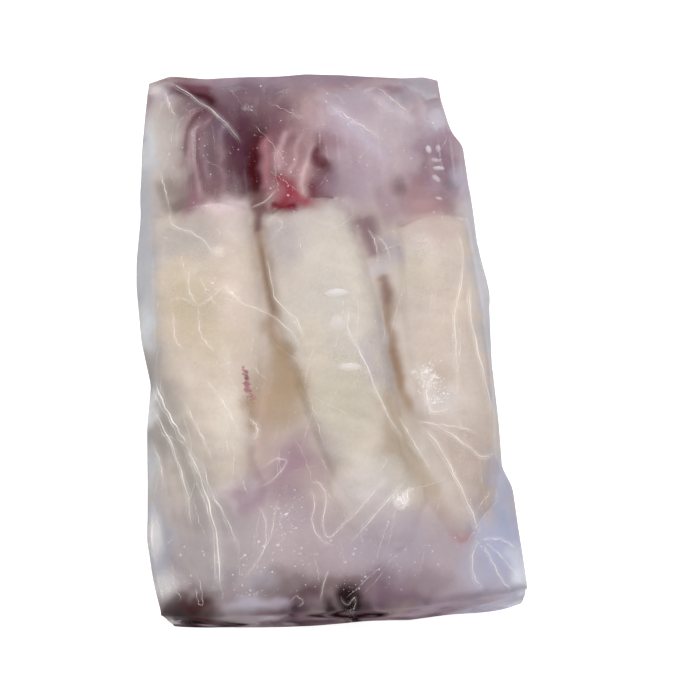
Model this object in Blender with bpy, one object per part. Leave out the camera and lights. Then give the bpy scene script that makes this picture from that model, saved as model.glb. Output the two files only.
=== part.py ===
"""Frozen block of whole raw squid in a tight clear bag: six squid, packed head to tail in two layers of ice.

Metres, +Z up. X runs across the block and Y along it. The origin is on the surface that it lies on, under
its middle. The three squid of the upper layer have their heads at the far end (+Y), the three below at the
near end (-Y). The ice is one solid with a pocket for each squid. The bag lies tight on it and has no solid
of its own.
"""

import bmesh
import bpy
import numpy as np

MM = 0.001

# The block: plan outline in millimetres, as stations along each of its four sides.
LEFT_SIDE = ((-146, -83.5), (-112, -89.5), (-84, -90.4), (-56, -89.4), (-33, -86.6), (-8, -89.8),
             (38, -92.0), (62, -89.8), (104, -88.3), (128, -85.0), (150, -81.0))
RIGHT_SIDE = ((-146, 88.0), (-118, 90.0), (-97, 89.8), (-86, 85.8), (-60, 87.0), (-28, 88.2),
              (10, 92.0), (40, 89.6), (84, 88.6), (104, 87.0), (118, 82.6), (136, 79.5))
NEAR_SIDE = ((-86, -145.0), (-66, -148.5), (-28, -151.4), (13, -153.0), (33, -154.0), (60, -153.4),
             (88, -148.0))
FAR_SIDE = ((-84, 150.0), (-68, 154.0), (-48, 150.5), (7, 147.5), (43, 141.5), (67, 138.0), (80, 134.0))
HALF_WIDTH = 88.0
HALF_LENGTH = 150.0
ICE_TOP = 40.0
ICE_RELIEF = 0.9
TOP_ROUND = 7.0
FOOT_ROUND = 4.0
CORNER_PULL = 0.055
CORNER_SHARPNESS = 7
PLAN_CELLS = (10, 16)

# Meshes keep this gap between a squid and the pocket that holds it.
POCKET_GAP = 0.35

MANTLE_SIDES = 12
MANTLE_RINGS = 9
MANTLE_SQUARENESS = 2.6
TAIL_RADIUS = 2.2
HEAD_SIDES, HEAD_RINGS = 8, 5
EYE_SIDES, EYE_RINGS = 6, 4
ARM_SIDES, ARM_RINGS = 5, 8

# The fins begin at this share of the mantle's length and run past its tail. Their reach is a share of the
# squid's own, at these shares of the fins' length.
FIN_START = 0.60
FIN_RINGS = 5
FIN_PAST_TAIL = 2.5
FIN_AT = (0, 0.45, 0.75, 1)
FIN_REACH = (0.42, 1.0, 0.78, 0.16)
FIN_EDGE, FIN_MIDDLE = 0.8, 2.4
FIN_LIFT = 1.0

UPPER_LEVEL = 33.5
UPPER_THICKNESS = 22.4
LOWER_LEVEL = 9.6
LOWER_THICKNESS = 22.0
UPPER_HEAD_LEVEL = 33.0
LOWER_HEAD_LEVEL = 13.5
HEAD_HALF_WIDTH, HEAD_HALF_LENGTH, HEAD_FLATNESS = 17.0, 21.0, 0.92
HEAD_SET_BACK = 2.0
EYE_RADII = (6.8, 7.2, 7.6)
EYE_SPREAD, EYE_FORWARD, EYE_LIFT = 13.0, 5.0, 0.5
ARM_LIFT = 4.2
ARM_TIP_DROP = 1.5
ARM_TAPER = 0.68

# Each squid, in millimetres: its mantle's middle line from collar to tail, its half width at the collar and
# at its widest, how far each fin reaches from that line, and the way its head points along Y. Arms are
# (root x, top y, tip x, tip y, thickness at the root).
SQUID = {
    "squid_left": {
        "line": ((-56.0, 64.0), (-53.5, 0.0), (-57.0, -65.0), (-57.0, -136.0)),
        "half_width": (26.0, 28.0), "fin": 28.0, "level": UPPER_LEVEL, "thickness": UPPER_THICKNESS,
        "head": (-44.0, 82.0, UPPER_HEAD_LEVEL), "points": 1,
        "arms": ((-36, 141, -74, 72, 10.5), (-38, 128, -62, 76, 10.0), (-37, 137, -21, 92, 8.5),
                 (-46, 147, -83, 100, 9.0)),
    },
    "squid_middle": {
        "line": ((0.0, 61.0), (8.0, -5.0), (18.5, -70.0), (31.0, -124.0)),
        "half_width": (23.0, 25.8), "fin": 23.5, "level": UPPER_LEVEL, "thickness": UPPER_THICKNESS,
        "head": (1.0, 79.0, UPPER_HEAD_LEVEL), "points": 1,
        "arms": ((-9, 130, 18, 72, 10.0), (6, 143, -12, 78, 8.5), (-2, 141, 29, 84, 9.5)),
    },
    "squid_right": {
        "line": ((66.0, 45.0), (65.5, -15.0), (66.0, -70.0), (61.0, -122.0)),
        "half_width": (19.0, 20.5), "fin": 19.0, "level": UPPER_LEVEL, "thickness": UPPER_THICKNESS - 2.0,
        "head": (65.0, 63.0, UPPER_HEAD_LEVEL), "points": 1,
        "arms": ((59, 114, 79, 64, 9.5), (57, 124, 40, 66, 8.5), (68, 128, 47, 88, 9.0)),
    },
    "under_squid_left": {
        "line": ((-64.0, -90.0), (-61.0, -25.0), (-66.0, 50.0), (-72.0, 122.0)),
        "half_width": (22.0, 25.0), "fin": 18.0, "level": LOWER_LEVEL, "thickness": LOWER_THICKNESS,
        "head": (-66.0, -108.0, LOWER_HEAD_LEVEL), "points": -1,
        "arms": ((-74, -143.5, -54, -112, 11.0), (-58, -146, -40, -118, 10.0)),
    },
    "under_squid_middle": {
        "line": ((-4.0, -92.0), (-8.0, -30.0), (-10.0, 40.0), (-14.0, 112.0)),
        "half_width": (21.0, 25.5), "fin": 25.0, "level": LOWER_LEVEL, "thickness": LOWER_THICKNESS,
        "head": (-1.0, -110.0, LOWER_HEAD_LEVEL), "points": -1,
        "arms": ((-6, -148, 12, -112, 11.0), (-10, -147, -28, -116, 10.0)),
    },
    "under_squid_right": {
        "line": ((50.0, -94.0), (45.0, -35.0), (42.0, 30.0), (46.0, 100.0)),
        "half_width": (21.0, 24.5), "fin": 24.0, "level": LOWER_LEVEL, "thickness": LOWER_THICKNESS - 1.0,
        "head": (50.0, -112.0, LOWER_HEAD_LEVEL), "points": -1,
        "arms": ((42, -149, 62, -114, 11.0), (58, -149, 74, -122, 10.0)),
    },
}

MATERIALS = {
    "ice": ((0.70, 0.68, 0.72), 0.25),
    "upper": ((0.72, 0.62, 0.52), 0.40),
    "lower": ((0.52, 0.38, 0.34), 0.45),
}


def clear_scene():
    """Removes what the scene holds."""
    for thing in list(bpy.data.objects):
        bpy.data.objects.remove(thing)


def finish_of(name):
    """The named material, made once."""
    if name in bpy.data.materials:
        return bpy.data.materials[name]
    colour, roughness = MATERIALS[name]
    finish = bpy.data.materials.new(name)
    finish.use_nodes = True
    shader = finish.node_tree.nodes["Principled BSDF"]
    shader.inputs["Base Color"].default_value = (*colour, 1.0)
    shader.inputs["Roughness"].default_value = roughness
    shader.inputs["Metallic"].default_value = 0.0
    return finish


def smooth_line(points, count):
    """count points along a Catmull-Rom curve through the points, evenly spaced in its parameter."""
    p = np.array(points, float)
    ends = np.vstack([2 * p[0] - p[1], p, 2 * p[-1] - p[-2]])
    at = np.linspace(0, len(p) - 1, count)
    span = np.minimum(at.astype(int), len(p) - 2)
    t = (at - span)[:, None]
    a, b, c, d = (ends[span + k] for k in range(4))
    return 0.5 * (2 * b + (c - a) * t + (2 * a - 5 * b + 4 * c - d) * t**2 + (3 * b - a - 3 * c + d) * t**3)


def faces_out(points, faces):
    """The faces, turned round if the volume that they enclose comes out negative."""
    fans = [(f[0], f[i], f[i + 1]) for f in faces for i in range(1, len(f) - 1)]
    volume = sum(points[a] @ np.cross(points[b], points[c]) for a, b, c in fans)
    return faces if volume > 0 else [f[::-1] for f in faces]


def mesh_object(name, points, faces, collection=None):
    """A closed mesh object from points in millimetres."""
    faces = faces_out(np.asarray(points, float), faces)
    mesh = bpy.data.meshes.new(name)
    mesh.from_pydata((np.asarray(points, float) * MM).tolist(), [], faces)
    mesh.update()
    made = bpy.data.objects.new(name, mesh)
    (collection or bpy.context.scene.collection).objects.link(made)
    return made


def loft(rings):
    """Points and faces of a closed tube through the rings, with a flat cap at each end."""
    rings = np.asarray(rings)
    count, sides = rings.shape[:2]
    faces = [tuple(range(sides))[::-1], tuple(range((count - 1) * sides, count * sides))]
    for i in range(count - 1):
        for j in range(sides):
            k = (j + 1) % sides
            corners = i * sides + j, i * sides + k, (i + 1) * sides + k, (i + 1) * sides + j
            faces += [corners[:3], (corners[0], corners[2], corners[3])]
    return rings.reshape(-1, 3), faces


def superellipse(sides, power):
    """Points round a unit superellipse, as cosine-like and sine-like factors."""
    angle = np.arange(sides) * 2 * np.pi / sides
    c, s = np.cos(angle), np.sin(angle)
    return np.sign(c) * abs(c) ** (2 / power), np.sign(s) * abs(s) ** (2 / power)


def mantle_line(squid, t):
    """The mantle's middle line at shares t of its length, its direction there and the way across it."""
    curve = smooth_line(squid["line"], 61)
    share = np.linspace(0, 1, len(curve))
    line = np.stack([np.interp(t, share, curve[:, 0]), np.interp(t, share, curve[:, 1])], 1)
    way = np.gradient(line, axis=0)
    way /= np.linalg.norm(way, axis=1)[:, None]
    return line, way, np.stack([-way[:, 1], way[:, 0]], 1)


def mantle_shape(squid, grow):
    """The mantle: a flattened tube, widest at a third of its length and narrowing to the tail.

    Its width bulges by a squared sine over the first 0.6 of its length, and from 0.42 on it falls along an
    ellipse. Its height falls slowly to the middle and faster from there, and is never over 0.9 of its width.
    """
    t = np.linspace(0, 1, MANTLE_RINGS) ** 0.92
    line, way, across = mantle_line(squid, t)
    collar, widest = squid["half_width"]
    width = collar + (widest - collar) * np.sin(np.pi * np.clip(t / 0.6, 0, 1)) ** 2
    width *= np.sqrt(np.clip(1 - np.clip((t - 0.42) / 0.60, 0, 1) ** 2, 0, 1))
    width = np.maximum(width, TAIL_RADIUS) + grow
    height = squid["thickness"] / 2 * np.clip(1.12 - 0.12 * t - 0.62 * np.clip(t - 0.45, 0, 1) ** 1.4, 0, 1)
    height = np.maximum(np.minimum(height, width * 0.9), TAIL_RADIUS) + grow
    line[0] -= way[0] * grow
    line[-1] += way[-1] * grow
    c, s = superellipse(MANTLE_SIDES, MANTLE_SQUARENESS)
    rings = np.zeros((MANTLE_RINGS, MANTLE_SIDES, 3))
    rings[:, :, :2] = line[:, None] + across[:, None] * (width[:, None] * c)[:, :, None]
    rings[:, :, 2] = squid["level"] + height[:, None] * s
    return loft(rings)


def ellipsoid_shape(centre, radii, grow, sides, rings):
    """An ellipsoid with small flat poles along Y."""
    v = np.linspace(0.12, np.pi - 0.12, rings)
    angle = np.arange(sides) * 2 * np.pi / sides
    unit = np.stack([np.sin(v)[:, None] * np.cos(angle), np.repeat(-np.cos(v)[:, None], sides, 1),
                     np.sin(v)[:, None] * np.sin(angle)], 2)
    return loft(np.asarray(centre) + unit * (np.asarray(radii) + grow))


def arm_line(squid, arm, count):
    """An arm's middle line: out of the head, round a bend at its top and back beside itself."""
    root_x, top_y, tip_x, tip_y, thick = arm
    x, y, level = squid["head"]
    way = squid["points"]
    radius = abs(tip_x - root_x) / 2
    side = np.sign(tip_x - root_x)
    turn = top_y - way * radius
    rest = level + ARM_LIFT
    points = [(x + (root_x - x) * 0.4, y + way * 4, level), (root_x, (y + turn) / 2 + way * 4, rest)]
    for angle in np.radians((165, 120, 90, 60, 15)):
        over, along = side * radius * (1 + np.cos(angle)), way * radius * np.sin(angle)
        points.append((root_x + over, turn + along, rest))
    points.append(((tip_x + root_x + side * 2 * radius) / 2, (turn + tip_y) / 2, rest))
    points.append((tip_x, tip_y, rest - ARM_TIP_DROP))
    return smooth_line(points, count)


def tube_shape(line, radius, sides, grow):
    """A round tube of the given radii about a nearly level line. grow thickens and lengthens it."""
    way = np.gradient(line, axis=0)
    way /= np.linalg.norm(way, axis=1)[:, None]
    line[0] -= way[0] * grow
    line[-1] += way[-1] * grow
    radius = radius + grow
    across = np.cross(way, (0, 0, 1.0))
    across /= np.linalg.norm(across, axis=1)[:, None]
    up = np.cross(across, way)
    angle = np.arange(sides) * 2 * np.pi / sides
    round_it = across[:, None] * np.cos(angle)[:, None] + up[:, None] * np.sin(angle)[:, None]
    return loft(line[:, None] + round_it * radius[:, None, None])


def arm_shape(squid, arm, grow):
    """An arm that tapers to its tip."""
    line = arm_line(squid, arm, ARM_RINGS)
    t = np.linspace(0, 1, ARM_RINGS)
    radius = arm[4] / 2 * (1 - ARM_TAPER * t**1.3)
    return tube_shape(line, radius, ARM_SIDES, grow)


def fin_shape(squid, grow):
    """The pair of fins: one thin diamond-shaped plate across the last third of the mantle."""
    t = np.linspace(FIN_START, 1, FIN_RINGS)
    middle, way, across = mantle_line(squid, t)
    reach = squid["fin"] * np.interp((t - FIN_START) / (1 - FIN_START), FIN_AT, FIN_REACH) + grow
    middle[0] -= way[0] * grow
    middle[-1] += way[-1] * (FIN_PAST_TAIL + grow)
    edge, ridge = FIN_EDGE + grow, FIN_MIDDLE + grow
    section = ((-1, -edge), (-1, edge), (0, ridge), (1, edge), (1, -edge), (0, -ridge))
    level = squid["level"] + FIN_LIFT
    stations = zip(middle, across * reach[:, None])
    return loft([[(*(m + side * s), level + h) for s, h in section] for m, side in stations])


def squid_solid(name, squid, grow=0.0):
    """One squid fused from mantle, fins, head, eyes and arms. grow thickens it for cutting its pocket."""
    group = bpy.data.collections.new(name + "_pieces")
    bpy.context.scene.collection.children.link(group)
    x, y, level = squid["head"]
    way = squid["points"]
    thick = squid["thickness"] / 2
    head_radii = HEAD_HALF_WIDTH, HEAD_HALF_LENGTH, thick * HEAD_FLATNESS
    head = ellipsoid_shape((x, y - way * HEAD_SET_BACK, level), head_radii, grow, HEAD_SIDES, HEAD_RINGS)
    shapes = [fin_shape(squid, grow), head]
    for side in (-1, 1) if way > 0 else ():
        eye = (x + side * EYE_SPREAD, y + way * EYE_FORWARD, level + EYE_LIFT)
        shapes.append(ellipsoid_shape(eye, EYE_RADII, grow, EYE_SIDES, EYE_RINGS))
    shapes += [arm_shape(squid, arm, grow) for arm in squid["arms"]]
    body = mesh_object(name, *mantle_shape(squid, grow))
    for i, shape in enumerate(shapes):
        mesh_object(f"{name}_{i}", *shape, group)
    apply_boolean(body, "UNION", group)
    return body


def apply_boolean(body, operation, group):
    """One Boolean of the body with all that the collection holds, applied; the collection's objects go."""
    step = body.modifiers.new(operation.lower(), "BOOLEAN")
    step.operation = operation
    step.operand_type = "COLLECTION"
    step.collection = group
    bpy.context.view_layer.update()
    shape = bpy.data.meshes.new_from_object(body.evaluated_get(bpy.context.evaluated_depsgraph_get()))
    body.modifiers.clear()
    body.data = shape
    drop_scraps(body)
    for piece in list(group.objects):
        bpy.data.objects.remove(piece)
    bpy.data.collections.remove(group)


def drop_scraps(body):
    """Keeps the body's largest connected shell: loose scraps go, and hollows sealed by fusing are filled."""
    shape = bmesh.new()
    shape.from_mesh(body.data)
    left = set(shape.faces)
    shells = []
    while left:
        shell, edge_of_shell = set(), [left.pop()]
        while edge_of_shell:
            face = edge_of_shell.pop()
            shell.add(face)
            reached = {other for edge in face.edges for other in edge.link_faces} & left
            left -= reached
            edge_of_shell.extend(reached)
        shells.append(shell)
    main = max(shells, key=lambda shell: sum(face.calc_area() for face in shell))
    bmesh.ops.delete(shape, geom=[face for face in shape.faces if face not in main], context="FACES")
    shape.to_mesh(body.data)
    shape.free()


def side_at(side, where):
    """The outline's offset at places along one side, on a smooth curve through its stations."""
    curve = smooth_line(side, 200)
    return np.interp(where, curve[:, 0], curve[:, 1])


def plan_point(s, t):
    """The block's plan as a square sheet, s and t from -1 to 1, stretched between its four sides."""
    pull = 1 - CORNER_PULL * np.abs(s * t) ** CORNER_SHARPNESS
    s, t = s * pull, t * pull
    y = t * HALF_LENGTH
    left, right = side_at(LEFT_SIDE, y), side_at(RIGHT_SIDE, y)
    x = left + (right - left) * (s + 1) / 2
    near, far = side_at(NEAR_SIDE, x), side_at(FAR_SIDE, x)
    return x, near + (far - near) * (t + 1) / 2


def relief(x, y):
    """Low unevenness of the ice: a few crossed waves."""
    return ICE_RELIEF * (np.sin(x / 17 + y / 39) + np.sin(y / 23 - x / 31 + 1.1) * 0.7) / 1.7


def block_shape():
    """The ice block: an uneven top, rounded shoulders, upright flanks and a flat foot."""
    cols, rows = PLAN_CELLS
    s, t = np.meshgrid(np.linspace(-1, 1, cols + 1), np.linspace(-1, 1, rows + 1), indexing="ij")
    border = [(i, 0) for i in range(cols)] + [(cols, j) for j in range(rows)]
    border += [(i, rows) for i in range(cols, 0, -1)] + [(0, j) for j in range(rows, 0, -1)]
    edge_s = np.array([s[i, j] for i, j in border])
    edge_t = np.array([t[i, j] for i, j in border])

    def inset(amount):
        return 1 - amount / HALF_WIDTH, 1 - amount / HALF_LENGTH

    a, b = inset(TOP_ROUND)
    x, y = plan_point(s * a, t * b)
    points = [np.stack([x, y, ICE_TOP + relief(x, y)], -1).reshape(-1, 3)]
    index = np.arange((cols + 1) * (rows + 1)).reshape(cols + 1, rows + 1)
    faces = [(index[i, j], index[i + 1, j], index[i + 1, j + 1], index[i, j + 1])
             for i in range(cols) for j in range(rows)]
    above = [index[i, j] for i, j in border]
    total = len(points[0])
    levels = [(TOP_ROUND * 0.3, ICE_TOP - TOP_ROUND * 0.3), (0.0, ICE_TOP - TOP_ROUND), (0.0, ICE_TOP / 2),
              (FOOT_ROUND * 0.15, FOOT_ROUND), (FOOT_ROUND, 0.0)]
    for amount, height in levels:
        a, b = inset(amount)
        x, y = plan_point(edge_s * a, edge_t * b)
        lift = relief(x, y) if height > ICE_TOP / 2 else 0 * x
        points.append(np.stack([x, y, height + lift], -1))
        ring = list(range(total, total + len(border)))
        total += len(border)
        for k in range(len(border)):
            n = (k + 1) % len(border)
            faces.append((above[n], above[k], ring[k], ring[n]))
        above = ring
    faces.append(tuple(above[::-1]))
    return np.concatenate(points), [tuple(int(v) for v in f) for f in faces]


def level_foot(body):
    """Cuts off what a lower squid would have below the surface that it froze against."""
    group = bpy.data.collections.new(body.name + "_foot")
    bpy.context.scene.collection.children.link(group)
    deep, wide = 20.0, 220.0
    x, y = np.array([-1, 1, 1, -1]) * wide, np.array([-1, -1, 1, 1]) * wide
    rings = [np.stack([x, y, np.full(4, z)], 1) for z in (-deep, 0.0)]
    mesh_object(body.name + "_below", *loft(rings), group)
    apply_boolean(body, "DIFFERENCE", group)


def build():
    """Makes the six squid and the ice that holds them."""
    clear_scene()
    ice = mesh_object("ice_block", *block_shape())
    pockets = bpy.data.collections.new("pockets")
    bpy.context.scene.collection.children.link(pockets)
    for name, squid in SQUID.items():
        body = squid_solid(name, squid)
        if squid["points"] < 0:
            level_foot(body)
        body.data.materials.clear()
        body.data.materials.append(finish_of("upper" if squid["points"] > 0 else "lower"))
        pocket = squid_solid(name + "_pocket", squid, POCKET_GAP)
        bpy.context.scene.collection.objects.unlink(pocket)
        pockets.objects.link(pocket)
    apply_boolean(ice, "DIFFERENCE", pockets)
    ice.data.materials.clear()
    ice.data.materials.append(finish_of("ice"))


build()
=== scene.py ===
"""Looks of a frozen block of whole raw squid in a tight clear bag.

The block holds two layers of three squid, packed head to tail. Each squid is flesh with a mantle, fins,
head, eyes, arms and suckers. Milky ice fills the block, a creased clear film lies tight on it, and frost and
trapped air show between the two. Lengths are in millimetres in the block's own frame, with +Z up, unless a
name or comment says otherwise; a mesh is written in metres.
"""

import logging
import math
from dataclasses import dataclass, field
from enum import Enum
from functools import partialmethod

import bpy
import numpy as np
from mathutils import Matrix, Vector


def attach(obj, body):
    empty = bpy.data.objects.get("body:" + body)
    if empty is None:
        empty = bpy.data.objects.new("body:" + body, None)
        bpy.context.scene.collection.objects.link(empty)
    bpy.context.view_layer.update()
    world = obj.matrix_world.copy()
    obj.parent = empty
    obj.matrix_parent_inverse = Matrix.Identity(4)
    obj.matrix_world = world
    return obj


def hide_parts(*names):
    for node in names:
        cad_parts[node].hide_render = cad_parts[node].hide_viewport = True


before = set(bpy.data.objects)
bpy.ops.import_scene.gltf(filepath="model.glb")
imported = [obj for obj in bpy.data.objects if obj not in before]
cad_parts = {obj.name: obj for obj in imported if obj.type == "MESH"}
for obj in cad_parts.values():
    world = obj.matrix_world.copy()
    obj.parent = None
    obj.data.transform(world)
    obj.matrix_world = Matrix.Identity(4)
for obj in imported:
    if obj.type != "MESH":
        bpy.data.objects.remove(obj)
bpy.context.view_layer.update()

LOG = logging.getLogger("squid_block")
MM = 0.001
BODY = "root"
Array = np.ndarray
Rgb = tuple[float, float, float]


def tone(code: int) -> Rgb:
    """Linear red, green and blue, 0 to 1, of a display colour written as 0xRRGGBB."""
    parts = (value / 255 for value in code.to_bytes(3, "big"))
    return tuple(v / 12.92 if v <= 0.04045 else ((v + 0.055) / 1.055) ** 2.4 for v in parts)


def smooth_line(points: Array, count: int) -> Array:
    """A Catmull-Rom curve through points, one row each, as samples that are even in its parameter."""
    p = np.asarray(points, float)
    ends = np.vstack([2 * p[0] - p[1], p, 2 * p[-1] - p[-2]])
    at = np.linspace(0, len(p) - 1, count)
    span = np.minimum(at.astype(int), len(p) - 2)
    t = (at - span)[:, None]
    a, b, c, d = (ends[span + k] for k in range(4))
    return 0.5 * (2 * b + (c - a) * t + (2 * a - 5 * b + 4 * c - d) * t**2 + (3 * b - a - 3 * c + d) * t**3)


def sampled(at: Array, stations: Array, rows: Array) -> Array:
    """Rows at some places between stations, straight from one to the next, column by column."""
    return np.stack([np.interp(at, stations, column) for column in rows.T], 1)


def blend(first: Array, second: Array, share: Array) -> Array:
    """first where share is 0, second where it is 1 and a mixture between."""
    return np.asarray(first) * (1 - share) + np.asarray(second) * share


def rotated(places: Array, angle: Array) -> Array:
    """Level places turned about the origin by an angle, in radians."""
    x, y = places[..., 0], places[..., 1]
    return np.stack([x * np.cos(angle) - y * np.sin(angle), x * np.sin(angle) + y * np.cos(angle)], -1)


def ring_of(count: int, power: float = 2.0) -> Array:
    """Points round a superellipse of half widths 1: a circle at power 2, squarer above."""
    angle = np.arange(count) * 2 * np.pi / count
    circle = np.stack([np.cos(angle), np.sin(angle)], 1)
    return np.sign(circle) * np.abs(circle) ** (2 / power)


def unit(vectors: Array) -> Array:
    """Vectors scaled to length 1 along their last axis."""
    return vectors / np.maximum(np.linalg.norm(vectors, axis=-1, keepdims=True), 1e-9)


def ease(value: Array, low: float, high: float) -> Array:
    """0 below low, 1 above high and a smooth S between them: 3x² - 2x³."""
    x = np.clip((value - low) / (high - low), 0, 1)
    return x * x * (3 - 2 * x)


def blur(values: Array, reach: float, axes: tuple[int, ...]) -> Array:
    """A Gaussian blur of a deviation of reach cells along some axes of an array, with its edges repeated."""
    half = int(math.ceil(2.5 * reach))
    kernel = np.exp(-0.5 * (np.arange(-half, half + 1) / reach) ** 2)
    kernel /= kernel.sum()
    for axis in axes:
        pads = [(half, half) if k == axis else (0, 0) for k in range(values.ndim)]
        padded = np.pad(values, pads, mode="edge")
        size = values.shape[axis]
        values = sum(w * np.take(padded, np.arange(k, k + size), axis) for k, w in enumerate(kernel))
    return values


@dataclass(frozen=True)
class Ripple:
    """Smooth seeded unevenness: sine waves in random directions, added up to a deviation of about 1."""

    scale: float
    seed: int
    waves: int = 12

    def __call__(self, points: Array) -> Array:
        """The unevenness at points, one value a row."""
        rng = np.random.default_rng(self.seed)
        way = unit(rng.normal(size=(self.waves, points.shape[-1])))
        rate = 2 * np.pi / (self.scale * rng.uniform(0.7, 1.6, self.waves))
        phase = rng.uniform(0, 2 * np.pi, self.waves)
        return np.sin(points @ (way * rate[:, None]).T + phase).sum(-1) / math.sqrt(self.waves / 2)


def along(path: tuple, width: float, points: Array) -> Array:
    """Strength of a stroke at points: exp(-(d/width)²) of the distance to its path, less at its ends."""
    line = smooth_line(path, 12 * len(path))
    flat = points[..., :2].reshape(-1, 2)
    mark = np.zeros(len(flat))
    reach = 3 * width
    near = np.flatnonzero(((flat > line.min(0) - reach) & (flat < line.max(0) + reach)).all(1))
    if len(near):
        gap = np.linalg.norm(flat[near, None] - line, axis=-1)
        best = gap.argmin(1)
        share = best / (len(line) - 1)
        ends = ease(np.minimum(share, 1 - share), 0.0, 0.14)
        mark[near] = np.exp(-((gap.min(1) / width) ** 2)) * (0.25 + 0.75 * ends)
    return mark.reshape(points.shape[:-1])


@dataclass(frozen=True)
class Streak:
    """A soft stroke seen from above: a gap between two squid, partly painted shade, an arm's edge or blood.
    """

    path: tuple
    width: float
    colour: Rgb
    strength: float = 0.9
    fray: float = 0.3

    def weight(self, points: Array) -> Array:
        """Strength at points."""
        return self.strength * along(self.path, self.width, points)


@dataclass(frozen=True)
class Patch:
    """A soft oval place on the block, seen from above, with a colour or an amount."""

    x: float
    y: float
    across: float
    along: float
    colour: Rgb
    strength: float = 1.0
    turn: float = 0.0
    fray: float = 1.0

    def weight(self, points: Array) -> Array:
        """Strength at points: full inside the oval and falling off as exp(-r³) across its edge."""
        place = rotated(points[..., :2] - (self.x, self.y), -math.radians(self.turn))
        return self.strength * np.exp(-(((place / (self.across, self.along)) ** 2).sum(-1) ** 1.5))


def marks(rows: tuple, colour: int | None = None) -> tuple[Patch | Streak, ...]:
    """Marks from rows of their values, in the order of the fields.

    Args:
        rows: One row a mark: a streak's starts with its path, and a patch's with its place.
        colour: The colour of all, as 0xRRGGBB, where the rows name none.

    Returns:
        The marks.
    """
    made = []
    for row in rows:
        kind, lead = (Streak, 2) if isinstance(row[0], tuple) else (Patch, 4)
        tint, *rest = row[lead:] if colour is None else (colour, *row[lead:])
        made.append(kind(*row[:lead], tone(tint), *rest))
    return tuple(made)


def frayed(points: Array) -> Array:
    """How far places stray from themselves, by ripples of 15 mm and 5 mm, so that what is painted frays."""
    place = points[..., :2]
    return np.stack([Ripple(15.0, seed, 20)(place) * 1.3 + Ripple(5.0, seed + 1, 30)(place) * 0.3
                     for seed in (51, 53)], -1)


def painted(colours: Array, points: Array, stains_and_shade: tuple[Patch | Streak, ...]) -> Array:
    """Colours at points with each mark, stains and painted shade alike, laid over them in turn, its edge
    frayed as far as it says.
    """
    stray = frayed(points)
    for stain_and_shade in stains_and_shade:
        share = stain_and_shade.weight(points[..., :2] + stray * stain_and_shade.fray)[..., None]
        colours = blend(colours, stain_and_shade.colour, share)
    return colours


@dataclass
class Surface:
    """Points, faces and what they carry: a value or a colour for each point, by attribute name."""

    points: Array
    faces: list
    carries: dict[str, Array] = field(default_factory=dict)

    @staticmethod
    def joined(parts: list["Surface"]) -> "Surface":
        """One surface from several that carry the same attributes."""
        starts = np.cumsum([0] + [len(part.points) for part in parts[:-1]])
        faces = []
        for part, start in zip(parts, starts.tolist()):
            faces += [tuple(int(v) + start for v in face) for face in part.faces]
        carries = {key: np.concatenate([part.carries[key] for part in parts]) for key in parts[0].carries}
        return Surface(np.concatenate([part.points for part in parts]), faces, carries)

    def carry(self, **values: Array) -> "Surface":
        """The surface with more values for its points."""
        self.carries.update(values)
        return self


def grid_faces(rows: int, cols: int, wrap: bool) -> list:
    """Quads of a grid of points stored row by row. Wrap joins its last column to the first."""
    index = np.arange(rows * cols).reshape(rows, cols)
    right = np.roll(index, -1, 1) if wrap else index[:, 1:]
    left = index if wrap else index[:, :-1]
    quads = np.stack([left[:-1], right[:-1], right[1:], left[1:]], -1).reshape(-1, 4)
    return quads.tolist()


def tube(rings: Array) -> Surface:
    """A closed tube through rings of points, with a fan to a middle point at each end."""
    rows, cols = rings.shape[:2]
    points = np.concatenate([rings.reshape(-1, 3), rings[0].mean(0)[None], rings[-1].mean(0)[None]])
    first, last = rows * cols, rows * cols + 1
    turn = np.arange(cols)
    after = (turn + 1) % cols
    foot = np.stack([after, turn, np.full(cols, first)], 1)
    head = np.stack([turn + (rows - 1) * cols, after + (rows - 1) * cols, np.full(cols, last)], 1)
    faces = grid_faces(rows, cols, True) + foot.tolist() + head.tolist()
    return Surface(points, faces)


def swept(line: Array, across_radius: Array, up_radius: Array, sides: int, power: float = 2.0) -> Surface:
    """A closed tube about a nearly level line.

    Args:
        line: The middle line, one row a station.
        across_radius: Half width at each station.
        up_radius: Half height at each station.
        sides: Points round the section.
        power: The section's power as a superellipse: 2 is an ellipse, more is squarer.

    Returns:
        The tube.
    """
    way = unit(np.gradient(line, axis=0))
    across = unit(np.cross(way, (0.0, 0.0, 1.0)))
    up = np.cross(across, way)
    c, s = ring_of(sides, power).T
    wide = across[:, None] * (across_radius[:, None] * c)[..., None]
    return tube(line[:, None] + (wide + up[:, None] * (up_radius[:, None] * s)[..., None]))


class Slot(Enum):
    """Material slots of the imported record."""

    ICE = "ice"
    SQUID = "squid"
    UNDER_SQUID = "under_squid"


class Wire:
    """A shader socket that takes part in arithmetic: each operator adds a Math node."""

    def __init__(self, graph: "Graph", socket: bpy.types.NodeSocket) -> None:
        """Wraps a socket of a graph."""
        self.graph = graph
        self.socket = socket

    def _math(self, operation: str, turned: bool, other: object) -> "Wire":
        """The result of a Math node on self and another value or wire, or the other way round."""
        first, second = (other, self) if turned else (self, other)
        return self.graph.node("ShaderNodeMath", {"operation": operation}, {0: first, 1: second})

    __add__ = __radd__ = partialmethod(_math, "ADD", False)
    __sub__ = partialmethod(_math, "SUBTRACT", False)
    __rsub__ = partialmethod(_math, "SUBTRACT", True)
    __mul__ = __rmul__ = partialmethod(_math, "MULTIPLY", False)


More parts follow.
